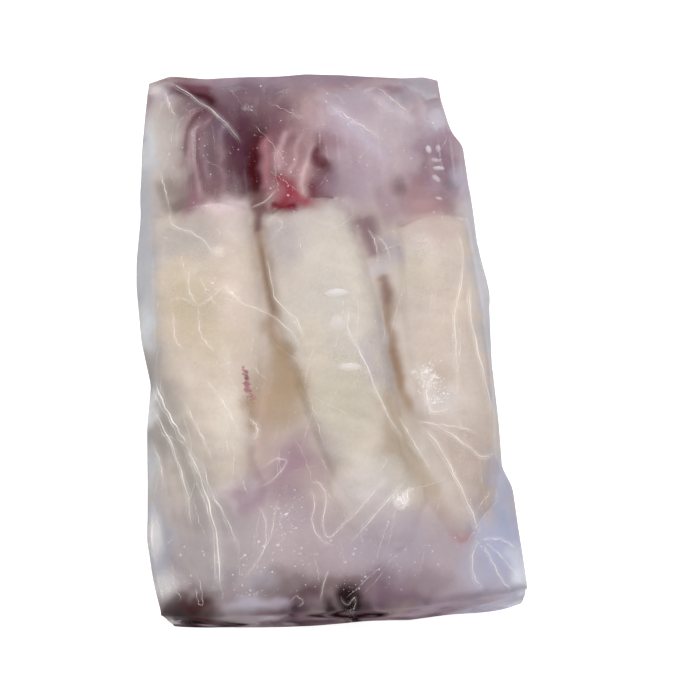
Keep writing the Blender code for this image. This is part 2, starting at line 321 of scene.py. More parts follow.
class Graph:
    """A material's node tree, built from plain values and wires."""

    def __init__(self, name: str, **constants: object) -> None:
        """Makes the material.

        Args:
            name: The material's name.
            constants: Values of the Principled shader's own sockets, with _ for a space.
        """
        self.material = bpy.data.materials.new(name)
        self.material.use_nodes = True
        self.tree = self.material.node_tree
        self.shader = self.tree.nodes["Principled BSDF"]
        for key, value in constants.items():
            self.shader.inputs[key.replace("_", " ")].default_value = value

    def node(self, kind: str, settings: dict, inputs: dict, output: object = 0) -> Wire:
        """Adds a node.

        Args:
            kind: The node's type.
            settings: Its own settings.
            inputs: Values or wires for its sockets, by name or number.
            output: The socket to return, by name or number.

        Returns:
            The wire of that socket.
        """
        made = self.tree.nodes.new(kind)
        for key, value in settings.items():
            setattr(made, key, value)
        for key, value in inputs.items():
            if isinstance(value, Wire):
                self.tree.links.new(value.socket, made.inputs[key])
            else:
                made.inputs[key].default_value = value
        return Wire(self, made.outputs[output])

    def attribute(self, name: str, output: str = "Fac") -> Wire:
        """A value or, with output Color, a colour that the mesh carries."""
        return self.node("ShaderNodeAttribute", {"attribute_name": name}, {}, output)

    def noise(self, scale: float, detail: float = 3.0, stretch: Rgb = (1.0, 1.0, 1.0),
              rough: float = 0.5) -> Wire:
        """Noise in object coordinates, about 0.2 to 0.8, with scale features per metre and detail octaves."""
        place = self.node("ShaderNodeTexCoord", {}, {}, "Object")
        placed = self.node("ShaderNodeMapping", {}, {"Vector": place, "Scale": stretch})
        return self.node("ShaderNodeTexNoise", {}, {"Vector": placed, "Scale": scale, "Detail": detail,
                                                    "Roughness": rough})

    def cells(self, scale: float) -> Wire:
        """Distance to the nearest of scattered points in object coordinates, in cells."""
        place = self.node("ShaderNodeTexCoord", {}, {}, "Object")
        return self.node("ShaderNodeTexVoronoi", {}, {"Vector": place, "Scale": scale}, "Distance")

    def ramp(self, value: Wire, low: float, high: float) -> Wire:
        """0 below low, 1 above high, smooth between."""
        return self.node("ShaderNodeMapRange", {"interpolation_type": "SMOOTHSTEP"},
                         {"Value": value, "From Min": low, "From Max": high})

    def clamp(self, value: Wire, low: float, high: float) -> Wire:
        """The value, kept between low and high."""
        return self.node("ShaderNodeClamp", {}, {"Value": value, "Min": low, "Max": high})

    def mix(self, share: object, first: object, second: object) -> Wire:
        """Two colours mixed by a share: first at 0 and second at 1."""
        made = self.tree.nodes.new("ShaderNodeMix")
        made.data_type = "RGBA"
        for socket, value in zip((made.inputs[0], made.inputs[6], made.inputs[7]), (share, first, second)):
            if isinstance(value, Wire):
                self.tree.links.new(value.socket, socket)
            else:
                socket.default_value = value if isinstance(value, (int, float)) else (*value, 1.0)
        return Wire(self, made.outputs[2])

    def bump(self, height: Wire, strength: float, distance: float) -> None:
        """Feeds the shader's normal from a height, in metres of relief."""
        relief = {"Height": height, "Strength": strength, "Distance": distance}
        self.feed("Normal", self.node("ShaderNodeBump", {}, relief, "Normal"))

    def feed(self, name: str, wire: Wire) -> None:
        """Links a wire to one of the shader's sockets."""
        self.tree.links.new(wire.socket, self.shader.inputs[name])


@dataclass(frozen=True)
class FleshFinish:
    """Moist frozen squid skin: the carried colour, mottled, with fine dark chromatophores."""

    name: str
    roughness: float = 0.42
    mottle: float = 0.10
    speckle: Rgb = tone(0x845450)
    speckles_per_m: float = 900.0

    def material(self) -> bpy.types.Material:
        """Builds the material."""
        g = Graph(self.name, IOR=1.38, Subsurface_Weight=0.25, Subsurface_Scale=0.004,
                  Specular_IOR_Level=0.35)
        g.shader.inputs["Subsurface Radius"].default_value = (1.0, 0.55, 0.4)
        skin = g.attribute("skin", "Color")
        clouds = g.noise(70.0, 4.0)
        fine = g.noise(420.0, 2.0)
        shade = 1 - self.mottle * (clouds * 1.8 + fine * 0.3 - 1.05)
        mottled = g.node("ShaderNodeVectorMath", {"operation": "SCALE"}, {0: skin, "Scale": shade})
        dots = (1 - g.ramp(g.cells(self.speckles_per_m), 0.10, 0.26)) * g.ramp(g.noise(55.0, 2.0), 0.42, 0.62)
        g.feed("Base Color", g.mix(dots * g.attribute("speckled"), mottled, self.speckle))
        g.feed("Roughness", self.roughness + 0.25 * (fine - 0.5))
        g.bump(clouds * 0.9 + fine * 0.1, 0.12, 0.001)
        return g.material


@dataclass(frozen=True)
class EyeFinish:
    """A squid's eye: the carried colour under a clear glossy cornea."""

    name: str = "squid_eye"

    def material(self) -> bpy.types.Material:
        """Builds the material."""
        g = Graph(self.name, Roughness=0.12, IOR=1.4, Coat_Weight=0.8)
        g.feed("Base Color", g.mix(g.noise(300.0) * 0.3, g.attribute("skin", "Color"), tone(0x3C2228)))
        return g.material


@dataclass(frozen=True)
class IceFinish:
    """Cloudy ice: the carried colour and cover, with clouds, cracks and trapped grain."""

    name: str = "cloudy_ice"
    grain: float = 0.14

    def material(self) -> bpy.types.Material:
        """Builds the material."""
        g = Graph(self.name, Roughness=0.30, IOR=1.31, Specular_IOR_Level=0.0)
        clouds = g.noise(38.0, 5.0)
        grain = g.noise(520.0, 3.0)
        colour = g.attribute("ice_colour", "Color")
        shade = 1.0 + 0.46 * (clouds - 0.5) + 0.10 * (grain - 0.5)
        lumpy = g.node("ShaderNodeVectorMath", {"operation": "SCALE"}, {0: colour, "Scale": shade})
        g.feed("Base Color", g.mix(g.ramp(g.noise(90.0, 6.0, rough=0.7), 0.56, 0.74) * 0.02, lumpy,
                                   tone(0xD6CED0)))
        cover = g.attribute("cover")
        cover = cover + (1 - cover) * ((clouds - 0.5) * 0.5 + (grain - 0.5) * self.grain)
        g.feed("Alpha", g.clamp(cover, 0.03, 1.0))
        g.bump(clouds * 0.85 + grain * 0.15, 0.25, 0.001)
        return g.material


@dataclass(frozen=True)
class FilmFinish:
    """Clear bag film: almost nothing where it lies flat, pale where it folds and wrinkles: partly the doubled
    film, partly painted shine.
    """

    name: str = "clear_film"

    def material(self) -> bpy.types.Material:
        """Builds the material."""
        g = Graph(self.name, Base_Color=(*tone(0xF6F0EB), 1.0), IOR=1.5, Specular_IOR_Level=0.8)
        wrinkle = g.noise(60.0, 4.0, (1.0, 0.3, 1.0), 0.6)
        # Wrinkle threads add pale film cover: partly the creased film, partly painted shine.
        thread = g.ramp(wrinkle, 0.60, 0.66) * (1 - g.ramp(wrinkle, 0.66, 0.72))
        veil = g.attribute("veil")
        faint = g.node("ShaderNodeMath", {"operation": "MINIMUM"}, {0: veil * 7.0, 1: 0.05})
        veil = veil + thread * faint
        g.feed("Alpha", g.clamp(veil, 0.0, 0.95))
        g.feed("Roughness", 0.10 + 0.25 * g.noise(90.0))
        g.bump(wrinkle, 0.5, 0.002)
        return g.material


@dataclass(frozen=True)
class FrostFinish:
    """White frost and trapped air."""

    name: str = "white_frost"

    def material(self) -> bpy.types.Material:
        """Builds the material."""
        g = Graph(self.name, Roughness=0.5, IOR=1.31)
        g.feed("Base Color", g.mix(g.noise(800.0) * 0.3, g.attribute("grain", "Color"), tone(0xECE4E8)))
        g.feed("Alpha", g.clamp(g.attribute("cover"), 0.0, 1.0))
        return g.material


def placed(name: str, data: bpy.types.ID) -> bpy.types.Object:
    """A new object with some data, in the scene."""
    made = bpy.data.objects.new(name, data)
    bpy.context.scene.collection.objects.link(made)
    return made


def add_piece(name: str, surface: Surface, material: bpy.types.Material, slot: Slot, *nodes: str) -> None:
    """Makes a smooth mesh piece that rides on the block.

    Args:
        name: The piece's name.
        surface: Its shape.
        material: Its material.
        slot: The record's slot that it belongs to; not used.
        nodes: The CAD nodes that it stands for.
    """
    mesh = bpy.data.meshes.new(name)
    mesh.from_pydata((surface.points * MM).tolist(), [], surface.faces)
    mesh.shade_smooth()
    mesh.materials.append(material)
    for key, values in surface.carries.items():
        carry(mesh, key, values)
    piece = placed(name, mesh)
    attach(piece, BODY)
    if nodes:
        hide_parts(*nodes)
    LOG.info("%s: %d points, %d faces", name, len(surface.points), len(surface.faces))


def carry(mesh: bpy.types.Mesh, name: str, values: Array) -> None:
    """Stores a value or a colour for each point of a mesh."""
    if values.ndim == 1:
        mesh.attributes.new(name, "FLOAT", "POINT").data.foreach_set("value", values.astype(np.float32))
    else:
        rgba = np.concatenate([values, np.ones((len(values), 1))], 1).astype(np.float32)
        mesh.color_attributes.new(name, "FLOAT_COLOR", "POINT").data.foreach_set("color", rgba.ravel())


def outward(surface: Surface) -> Surface:
    """The surface, turned round if the volume that it encloses comes out negative."""
    lengths = np.array([len(face) for face in surface.faces])
    flat = np.concatenate([np.asarray(face) for face in surface.faces])
    starts = np.concatenate([[0], np.cumsum(lengths)[:-1]])
    centre = surface.points.mean(0)
    total = 0.0
    for step in range(1, int(lengths.max()) - 1):
        has = starts[lengths > step + 1]
        a, b, c = (surface.points[flat[has + k]] - centre for k in (0, step, step + 1))
        total += np.einsum("ij,ij->", a, np.cross(b, c))
    if total < 0:
        surface.faces = [tuple(face)[::-1] for face in surface.faces]
    return surface


@dataclass(frozen=True)
class Arm:
    """One arm: out of the head, round a bend at its top and back beside itself.

    Its lift is how far it lies above the head's middle. Pale runs from -1, dark with blood, to 1, washed out.
    """

    root_x: float
    top_y: float
    tip_x: float
    tip_y: float
    thick: float
    lift: float = 4.2
    pale: float = 0.0


@dataclass
class Squid:
    """One whole squid, flattened by the block: mantle, fins, head, eyes, arms and suckers."""

    name: str
    line: tuple
    collar: float
    widest: float
    fin: float
    level: float
    thickness: float
    head: tuple[float, float, float]
    points: int
    arms: tuple[Arm, ...]
    skin: Rgb
    belly: Rgb
    head_tone: Rgb
    arm_tone: Rgb
    patches: tuple[Patch | Streak, ...] = ()
    speckled: float = 0.3
    rows: int = 150
    sides: int = 84
    foot: float = 0.6
    sunk: float = 2.5
    fin_lift: float = 5.0
    scallop: float = 1.6
    section: float = 2.5
    taper: float = 0.72
    sucker_step: float = 2.6

    def middle(self, t: Array) -> tuple[Array, Array, Array]:
        """The middle line at shares t from collar to tail, its direction and the level way across it."""
        curve = smooth_line(self.line, 121)
        share = np.linspace(0, 1, len(curve))
        way = unit(sampled(t, share, np.gradient(curve, axis=0)))
        return sampled(t, share, curve), way, np.stack([-way[:, 1], way[:, 0]], 1)

    def mantle_size(self, t: Array) -> tuple[Array, Array]:
        """Half width and half height of the mantle at shares t of its length, as the CAD solid has them."""
        width = self.collar + (self.widest - self.collar) * np.sin(np.pi * np.clip(t / 0.6, 0, 1)) ** 2
        width = width * np.sqrt(np.clip(1 - np.clip((t - 0.42) / 0.60, 0, 1) ** 2, 0, 1))
        width = np.maximum(width, 2.2)
        height = self.thickness / 2 * np.clip(1.12 - 0.12 * t - 0.62 * np.clip(t - 0.45, 0, 1) ** 1.4, 0, 1)
        return width, np.maximum(np.minimum(height, width * 0.9), 2.0)

    def mantle(self) -> Surface:
        """The mantle: a flattened bag whose collar rolls over into its inside, painted darker as shade in the
        opening.

        Rings of a superellipse run down the middle line. The first lie inside, 3 mm in from the skin, and the
        rim joins them to the outer ones. The collar is scalloped and low ripples break the form.
        """
        inner = np.array([0.10, 0.06, 0.03, 0.008])
        outer = np.linspace(0, 1, self.rows) ** 0.96
        t = np.concatenate([inner, [-0.002, -0.004, -0.003], outer])
        inset = np.concatenate([np.full(4, 3.0), [2.4, 1.4, 0.5], np.zeros(self.rows)])
        line, _, across = self.middle(t)
        line[4:7] -= self.middle(np.zeros(3))[1] * np.array([0.8, 1.2, 0.8])[:, None]
        width, height = self.mantle_size(np.clip(t, 0, 1))
        angle = np.arange(self.sides) * 2 * np.pi / self.sides
        c, s = ring_of(self.sides, self.section).T
        rings = np.zeros((len(t), self.sides, 3))
        spread = ((width - inset)[:, None] * c)[..., None]
        rings[..., :2] = line[:, None] + across[:, None] * spread
        rings[..., 2] = self.level + (height - inset)[:, None] * s
        near_rim = np.exp(-((np.clip(t, 0, 1) / 0.02) ** 2))[:, None]
        rings[..., 1] += near_rim * self.scallop * np.cos(3 * angle + self.level)[None] * self.points
        swell = Ripple(26.0, 3)(rings) * 0.35 + Ripple(9.0, 5)(rings) * 0.10
        rings[..., 2] += swell * np.sign(s) * (inset == 0)[:, None]
        surface = tube(rings)
        base = self._skin_tones(surface.points, self.skin)
        # Painted shade: the rings rolled in behind the collar darken towards 0x785456, as shade in the
        # opening.
        inside = np.concatenate([np.repeat(ease(inset, 0.4, 2.5), self.sides), [1.0, 0.0]])[:, None]
        return self._finished(surface, blend(base, tone(0x785456), inside))

    def fins(self) -> Surface:
        """The pair of fins: thin lens-shaped sections across the last third, with a wavy edge."""
        t = np.linspace(0.60, 1.012, 76)
        share = (t - 0.60) / 0.40
        line, way, across = self.middle(np.clip(t, 0, 1))
        line += way * (np.clip(t - 1, 0, 1) * 190)[:, None]
        outline = (0, 0.12, 0.45, 0.75, 1, 1.03), (0.30, 0.62, 1.0, 0.80, 0.20, 0.05)
        reach = self.fin * np.interp(share, *outline)
        side = np.sin(np.linspace(-np.pi / 2, np.pi / 2, 45))
        thick = 0.7 + 1.7 * (1 - np.abs(side)) ** 0.8
        wave = np.sin(share * 17 + side[:, None] * 2).T * 0.9 + np.sin(share * 9).reshape(-1, 1) * 0.5
        droop = np.abs(side) ** 2 * 2.0
        top = np.zeros((len(t), len(side), 3))
        top[..., :2] = line[:, None] + across[:, None] * (reach[:, None] * side)[..., None]
        top[..., 2] = self.level + self.fin_lift + wave * np.abs(side) - droop
        under = top.copy()
        top[..., 2] += thick
        under[..., 2] -= thick
        surface = tube(np.concatenate([top, under[:, ::-1]], 1))
        return self._finished(surface, self._skin_tones(surface.points, self.belly))

    def skull(self) -> Surface:
        """The head: a neck inside the collar, a bulge at the eyes and a crown that the arms leave."""
        x, y, level = self.head
        v = np.linspace(0, 1, 46)
        along = y + self.points * (-24 + 44 * v)
        wide = np.interp(v, (0, 0.25, 0.55, 0.85, 1), (10.0, 13.5, 17.0, 13.0, 4.0))
        high = np.interp(v, (0, 0.25, 0.55, 0.85, 1), (6.5, 8.8, 10.2, 7.5, 2.5)) * self.thickness / 22.4
        line = np.stack([np.full_like(v, x), along, np.full_like(v, level - self.sunk)], 1)
        surface = swept(line, blur(wide, 2, (0,)), blur(high, 2, (0,)), 48, 2.2)
        bumps = Ripple(8.0, 7)(surface.points) * 0.4
        surface.points += unit(surface.points - (x, y, level)) * bumps[:, None]
        return self._finished(surface, self._skin_tones(surface.points, self.head_tone))

    def eyes(self) -> Surface:
        """Two eyes: flattened balls with a dark pupil under a silvery brown ring."""
        x, y, level = self.head
        made = []
        for side in (-1, 1):
            centre = np.array([x + side * 13.0, y + self.points * 5, level + 0.8 - self.sunk])
            v = np.linspace(0.05, np.pi - 0.05, 20)
            line = centre + np.stack([0 * v, -np.cos(v) * 7.0, 0 * v], 1)
            ball = swept(line, 6.8 * np.sin(v), 7.4 * np.sin(v), 28)
            away = np.linalg.norm((ball.points - centre - (0, 0, 7)) * (1, 1, 0.3), axis=1)
            ring = ease(away, 2.2, 3.4)[:, None]
            rim = ease(away, 4.6, 6.2)[:, None]
            colour = blend(blend(tone(0x1E1016), tone(0x785454), ring), tone(0x46202C), rim)
            made.append(ball.carry(skin=colour))
        surface = Surface.joined([outward(ball) for ball in made])
        surface.points[:, 2] = np.maximum(surface.points[:, 2], self.foot)
        return surface

    def arm_line(self, arm: Arm, count: int) -> Array:
        """An arm's middle line, on a smooth curve through its root, its bend and its tip."""
        x, y, level = self.head
        way = self.points
        radius = abs(arm.tip_x - arm.root_x) / 2
        side = np.sign(arm.tip_x - arm.root_x)
        turn = arm.top_y - way * radius
        rest = level + arm.lift
        points = [(x + (arm.root_x - x) * 0.4, y + way * 4, level),
                  (arm.root_x, (y + turn) / 2 + way * 4, rest)]
        for angle in np.radians((165, 120, 90, 60, 15)):
            over, along = side * radius * (1 + np.cos(angle)), way * radius * np.sin(angle)
            points.append((arm.root_x + over, turn + along, rest))
        points.append(((arm.tip_x + arm.root_x + side * 2 * radius) / 2, (turn + arm.tip_y) / 2, rest - 0.4))
        points.append((arm.tip_x, arm.tip_y, rest - 1.5))
        return smooth_line(points, count)

    def limbs(self) -> Surface:
        """All the arms: tapering tubes, each streaked towards a pale tone or a blood-dark one by its pale
        value.
        """
        made = []
        for number, arm in enumerate(self.arms):
            line = self.arm_line(arm, 72)
            t = np.linspace(0, 1, len(line))
            radius = arm.thick / 2 * (1 - self.taper * t**1.4) * (1 + 0.05 * np.sin(t * 40 + number))
            line[:, :2] += 0.5 * np.sin(t * 21 + number * 2.1)[:, None]
            surface = outward(swept(line, radius, radius * 0.92, 18))
            streak = 0.5 * Ripple(14.0, 20 + number)(surface.points)
            share = np.clip(abs(arm.pale) * 1.25 + 0.3 * streak, 0, 0.95)[:, None]
            colours = blend(self.arm_tone, tone(0xDCC2BE if arm.pale > 0 else 0x3E1A28), share)
            made.append(self._finished(surface, self._stained(colours, surface.points)))
        return Surface.joined(made)

    def suckers(self) -> Surface:
        """Two rows of cups along the upper side of each arm: a raised ring with a hollow middle."""
        rim = ring_of(10)
        profile = ((1.05, -0.55), (1.0, 0.25), (0.55, 0.10))
        cup = np.stack([np.concatenate([rim * r, np.full((10, 1), h)], 1) for r, h in profile])
        cup = np.concatenate([cup.reshape(-1, 3), [[0, 0, -0.15]]])
        faces = np.asarray(grid_faces(3, 10, True))
        fan = np.stack([20 + np.arange(10), 20 + (np.arange(10) + 1) % 10, np.full(10, 30)], 1)
        made = []
        for arm in self.arms:
            line = self.arm_line(arm, 240)
            way = unit(np.gradient(line, axis=0))
            across = unit(np.cross(way, (0.0, 0.0, 1.0)))
            length = np.concatenate([[0], np.cumsum(np.linalg.norm(np.diff(line, axis=0), axis=1))])
            at = np.arange(0.25 * length[-1], 0.97 * length[-1], self.sucker_step)
            share = at / length[-1]
            radius = arm.thick / 2 * (1 - self.taper * share**1.4)
            place, over = sampled(at, length, line), sampled(at, length, across)
            for side in (-1, 1):
                spot = place + over * (side * radius * 0.42)[:, None] + (0, 0, 1.0) * (radius * 0.84)[:, None]
                points = (spot[:, None] + cup * (0.12 + radius * 0.10)[:, None, None]).reshape(-1, 3)
                step = (np.arange(len(at)) * len(cup))[:, None, None]
                both = (faces + step).reshape(-1, 4).tolist() + (fan + step).reshape(-1, 3).tolist()
                colours = np.tile(blend(self.arm_tone, tone(0xD0B6B2), 0.2), (len(points), 1))
                colours = self._stained(colours, points, 0.9)
                made.append(Surface(points, both, {"skin": colours, "speckled": np.zeros(len(points))}))
        return Surface.joined(made)

    def _skin_tones(self, points: Array, base: Rgb) -> Array:
        """The base, greyer and darker down the sides, clouded warm and cool, with the squid's patches."""
        down = ease(self.level - points[:, 2], -self.thickness * 0.30, self.thickness * 0.45)[:, None]
        warm = (0.5 + 0.5 * np.tanh(Ripple(30.0, 11)(points)))[:, None]
        cool = (0.5 + 0.5 * np.tanh(1.5 * Ripple(19.0, 13)(points)))[:, None]
        colours = blend(blend(base, self.belly, down), tone(0xD8C8B0), 0.24 * warm)
        return self._stained(blend(colours, tone(0xBAB6B2), 0.20 * cool), points)

    def _stained(self, colours: Array, points: Array, share: float = 1.0) -> Array:
        """Colours with the squid's own patches laid over them, as far as share says."""
        return blend(colours, painted(colours, points, self.patches), share)

    def _finished(self, surface: Surface, colours: Array) -> Surface:
        """The surface pointing outwards, kept off the foot, with its skin colours and speckles."""
        surface.points[:, 2] = np.maximum(surface.points[:, 2], self.foot)
        surface.carry(skin=colours, speckled=np.full(len(surface.points), self.speckled))
        return outward(surface)

    def build(self, block: "Block", flesh: bpy.types.Material, eye: bpy.types.Material) -> list[Surface]:
        """Makes the squid's pieces inside the block and returns their surfaces, for the ice to cover."""
        slot = Slot.SQUID if self.points > 0 else Slot.UNDER_SQUID
        parts = {"mantle": self.mantle(), "fins": self.fins(), "head": self.skull(), "arms": self.limbs(),
                 "suckers": self.suckers(), "eyes": self.eyes()}
        for part, surface in parts.items():
            surface.points = block.contained(surface.points, 1.2)
            nodes = (self.name,) if part == "mantle" else ()
            add_piece(f"{self.name}_{part}", surface, eye if part == "eyes" else flesh, slot, *nodes)
        return list(parts.values())


@dataclass(frozen=True)
class Block:
    """The frozen block's outer form: an uneven top, rounded shoulders, upright flanks and a flat foot."""

    left: tuple = ((-146, -84.0), (-128, -87.4), (-112, -88.9), (-84, -87.8), (-56, -87.2), (-33, -84.4),
                   (-8, -88.8), (23, -90.6), (38, -90.2), (62, -87.4), (104, -85.6), (128, -83.4),
                   (150, -81.2))
    right: tuple = ((-146, 89.4), (-118, 88.5), (-97, 88.4), (-86, 84.6), (-60, 86.2), (-28, 87.0),
                    (10, 90.5), (40, 88.4), (84, 88.0), (104, 88.0), (112, 83.6), (118, 82.2), (136, 80.0))
    near: tuple = ((-86, -145.5), (-66, -147.4), (-28, -149.4), (-6, -150.0), (20, -152.0), (33, -152.6),
                   (55, -151.2), (80, -150.8), (88, -150.0))
    far: tuple = ((-84, 151.0), (-68, 154.4), (-57, 151.2), (-48, 148.8), (-32, 147.8), (-7, 145.8),
                  (7, 146.0), (26, 143.2), (43, 139.8), (60, 136.8), (72, 136.6), (80, 134.0))
    half_width: float = 88.0
    half_length: float = 150.0
    level: float = 40.0
    top_round: float = 4.0
    foot_round: float = 4.0
    corner_pull: float = 0.010
    corner_sharpness: int = 7

    def side(self, stations: tuple, at: Array) -> Array:
        """A side's place at some stations along it, on straight runs rounded by a short blur."""
        table = np.asarray(stations, float)
        fine = np.linspace(table[0, 0], table[-1, 0], 240)
        return np.interp(at, fine, blur(np.interp(fine, table[:, 0], table[:, 1]), 1.6, (0,)))

    def plan(self, s: Array, t: Array) -> tuple[Array, Array]:
        """The plan as a square sheet, s and t from -1 to 1, stretched between its four sides."""
        pull = 1 - self.corner_pull * np.abs(s * t) ** self.corner_sharpness
        s, t = s * pull, t * pull
        y = t * self.half_length
        left, right = self.side(self.left, y), self.side(self.right, y)
        x = left + (right - left) * (s + 1) / 2
        near, far = self.side(self.near, x), self.side(self.far, x)
        return x, near + (far - near) * (t + 1) / 2

    def top(self, x: Array, y: Array) -> Array:
        """Height of the ice's own top: the level and a few crossed waves."""
        return self.level + 0.9 * (np.sin(x / 17 + y / 39) + np.sin(y / 23 - x / 31 + 1.1) * 0.7) / 1.7

    def contained(self, points: Array, margin: float) -> Array:
        """Points moved inside the flanks, at least a margin away from them."""
        kept = points.copy()
        near, far = self.side(self.near, points[:, 0]), self.side(self.far, points[:, 0])
        t = 2 * (points[:, 1] - near) / (far - near) - 1
        t = np.clip(t, margin / self.half_length - 1, 1 - margin / self.half_length)
        left = self.side(self.left, t * self.half_length)
        right = self.side(self.right, t * self.half_length)
        s = 2 * (points[:, 0] - left) / (right - left) - 1
        limit = 1 - margin / self.half_width - 1.3 * self.corner_pull * np.abs(t) ** self.corner_sharpness
        s = np.clip(s, -limit, limit)
        kept[:, 0] = left + (right - left) * (s + 1) / 2
        kept[:, 1] = near + (far - near) * (t + 1) / 2
        return kept

    def shell(self, step: float, rise: float, top: Array, flank: Ripple, wobble: float) -> Surface:
        """A closed skin round the block.

        The top is a grid over the plan. From its border, rings follow a quarter round of the shoulder, the
        flank and the foot, and then close in under the block.

        Args:
            step: Cell size of the top.
            rise: How far the skin stands off the ice.
            top: The top's height, as a function of x and y.
            flank: Unevenness of the flanks.
            wobble: How far that unevenness reaches.

        Returns:
            The skin.
        """
        cols, rows = round(2 * self.half_width / step), round(2 * self.half_length / step)
        s, t = np.meshgrid(np.linspace(-1, 1, cols + 1), np.linspace(-1, 1, rows + 1), indexing="ij")
        index = np.arange(s.size).reshape(s.shape)
        border = np.concatenate([index[:-1, 0], index[-1, :-1], index[:0:-1, -1], index[0, :0:-1]])
        edge = np.stack([s.ravel()[border], t.ravel()[border]])
        x, y = self._inset(s, t, self.top_round)
        points = [np.stack([x, y, top(x, y) + rise], -1).reshape(-1, 3)]
        quads = np.stack([index[:-1, :-1], index[1:, :-1], index[1:, 1:], index[:-1, 1:]], -1).reshape(-1, 4)
        faces = quads.tolist()
        turn = np.linspace(0, np.pi / 2, 8)[1:]
        shoulder = [(self.top_round * (1 - math.sin(a)), self.top_round * (1 - math.cos(a)), None)
                    for a in turn]
        flanks = [(0.0, 0.0, share) for share in np.linspace(0.92, 0.08, 12)]
        foot = [(self.foot_round * (1 - math.cos(a)), 0.0, -self.foot_round * (1 - math.sin(a)))
                for a in np.linspace(0.2, np.pi / 2, 6)]
        under = [(inset, 0.0, -self.foot_round) for inset in (7, 14, 26, 44, 62, 78)]
        above = border
        total = s.size
        for inset, drop, share in shoulder + flanks + foot + under:
            x, y = self._inset(edge[0], edge[1], inset - rise)
            height = top(x, y) + rise - drop
            if share is not None and share > 0:
                height = self.foot_round + (height - self.top_round - self.foot_round) * share
            elif share is not None:
                height = np.full_like(x, self.foot_round + share)
            ring = np.stack([x, y, height], -1)
            away = unit(ring[:, :2] - ring[:, :2].mean(0))
            ring[:, :2] += away * (flank(ring) * wobble * (0.3 < height) * (height < 36))[:, None]
            points.append(ring)
            below = total + np.arange(len(border))
            side = np.stack([above, below, np.roll(below, -1), np.roll(above, -1)], 1)
            faces += side.tolist()
            above, total = below, total + len(border)
        faces.append(above.tolist()[::-1])
        return Surface(np.concatenate(points), faces)

    def _inset(self, s: Array, t: Array, amount: float) -> tuple[Array, Array]:
        """The plan at s and t, with its border drawn in by an amount."""
        return self.plan(s * (1 - amount / self.half_width), t * (1 - amount / self.half_length))


@dataclass
class TopMap:
    """What lies uppermost in the block, seen from above: its height and its colour on a grid."""

    step: float = 0.8
    half_x: float = 96.0
    half_y: float = 158.0
    floor: float = 2.0

    def fill(self, surfaces: list[Surface]) -> None:
        """Reads the surfaces: each quad drops nine samples on the grid, and the highest in a cell stays."""
        cols, rows = round(2 * self.half_x / self.step) + 1, round(2 * self.half_y / self.step) + 1
        share = (np.arange(3) + 0.5) / 3
        u, v = (grid.ravel() for grid in np.meshgrid(share, share))
        weight = np.stack([(1 - u) * (1 - v), u * (1 - v), u * v, (1 - u) * v], 1)
        spots, tones = [], []
        for surface in surfaces:
            quads = np.asarray([face for face in surface.faces if len(face) == 4])
            spots.append(np.einsum("kc,ncx->nkx", weight, surface.points[quads]).reshape(-1, 3))
            tones.append(np.einsum("kc,ncx->nkx", weight, surface.carries["skin"][quads]).reshape(-1, 3))
        spot, colour = np.concatenate(spots), np.concatenate(tones)
        order = np.argsort(spot[:, 2])
        spot, colour = spot[order], colour[order]
        col = np.clip(np.rint((spot[:, 0] + self.half_x) / self.step).astype(int), 0, cols - 1)
        row = np.clip(np.rint((spot[:, 1] + self.half_y) / self.step).astype(int), 0, rows - 1)
        height = np.full((rows, cols), self.floor)
        tint = np.zeros((rows, cols, 3))
        height[row, col] = spot[:, 2]
        tint[row, col] = colour
        known = (height > self.floor).astype(float)
        crown = height.copy()
        for axis in (0, 1):
            crown = np.maximum(crown, np.maximum(np.roll(crown, 1, axis), np.roll(crown, -1, axis)))
        self.height = blur(crown, 1.1, (0, 1))
        self.soft_height = blur(height, 5.0, (0, 1))
        self.tint = self._spread(tint, known, 2.6)
        self.wide_tint = self._spread(tint, known, 16.0)

    @staticmethod
    def _spread(tint: Array, known: Array, reach: float) -> Array:
        """Colours blurred over the known cells alone, so that they also fill the unknown ones."""
        total = blur(known, reach, (0, 1))[..., None] + 1e-4
        return (blur(tint * known[..., None], reach, (0, 1)) + 1e-4 * 0.5) / total

    def at(self, layer: Array, x: Array, y: Array) -> Array:
        """A layer of the map at places, straight between its cells."""
        u = np.clip((x + self.half_x) / self.step, 0, layer.shape[1] - 1.001)
        v = np.clip((y + self.half_y) / self.step, 0, layer.shape[0] - 1.001)
        i, j = u.astype(int), v.astype(int)
        a, b = u - i, v - j
        if layer.ndim == 3:
            a, b = a[..., None], b[..., None]
        low = layer[j, i] * (1 - a) + layer[j, i + 1] * a
        high = layer[j + 1, i] * (1 - a) + layer[j + 1, i + 1] * a
        return low * (1 - b) + high * b


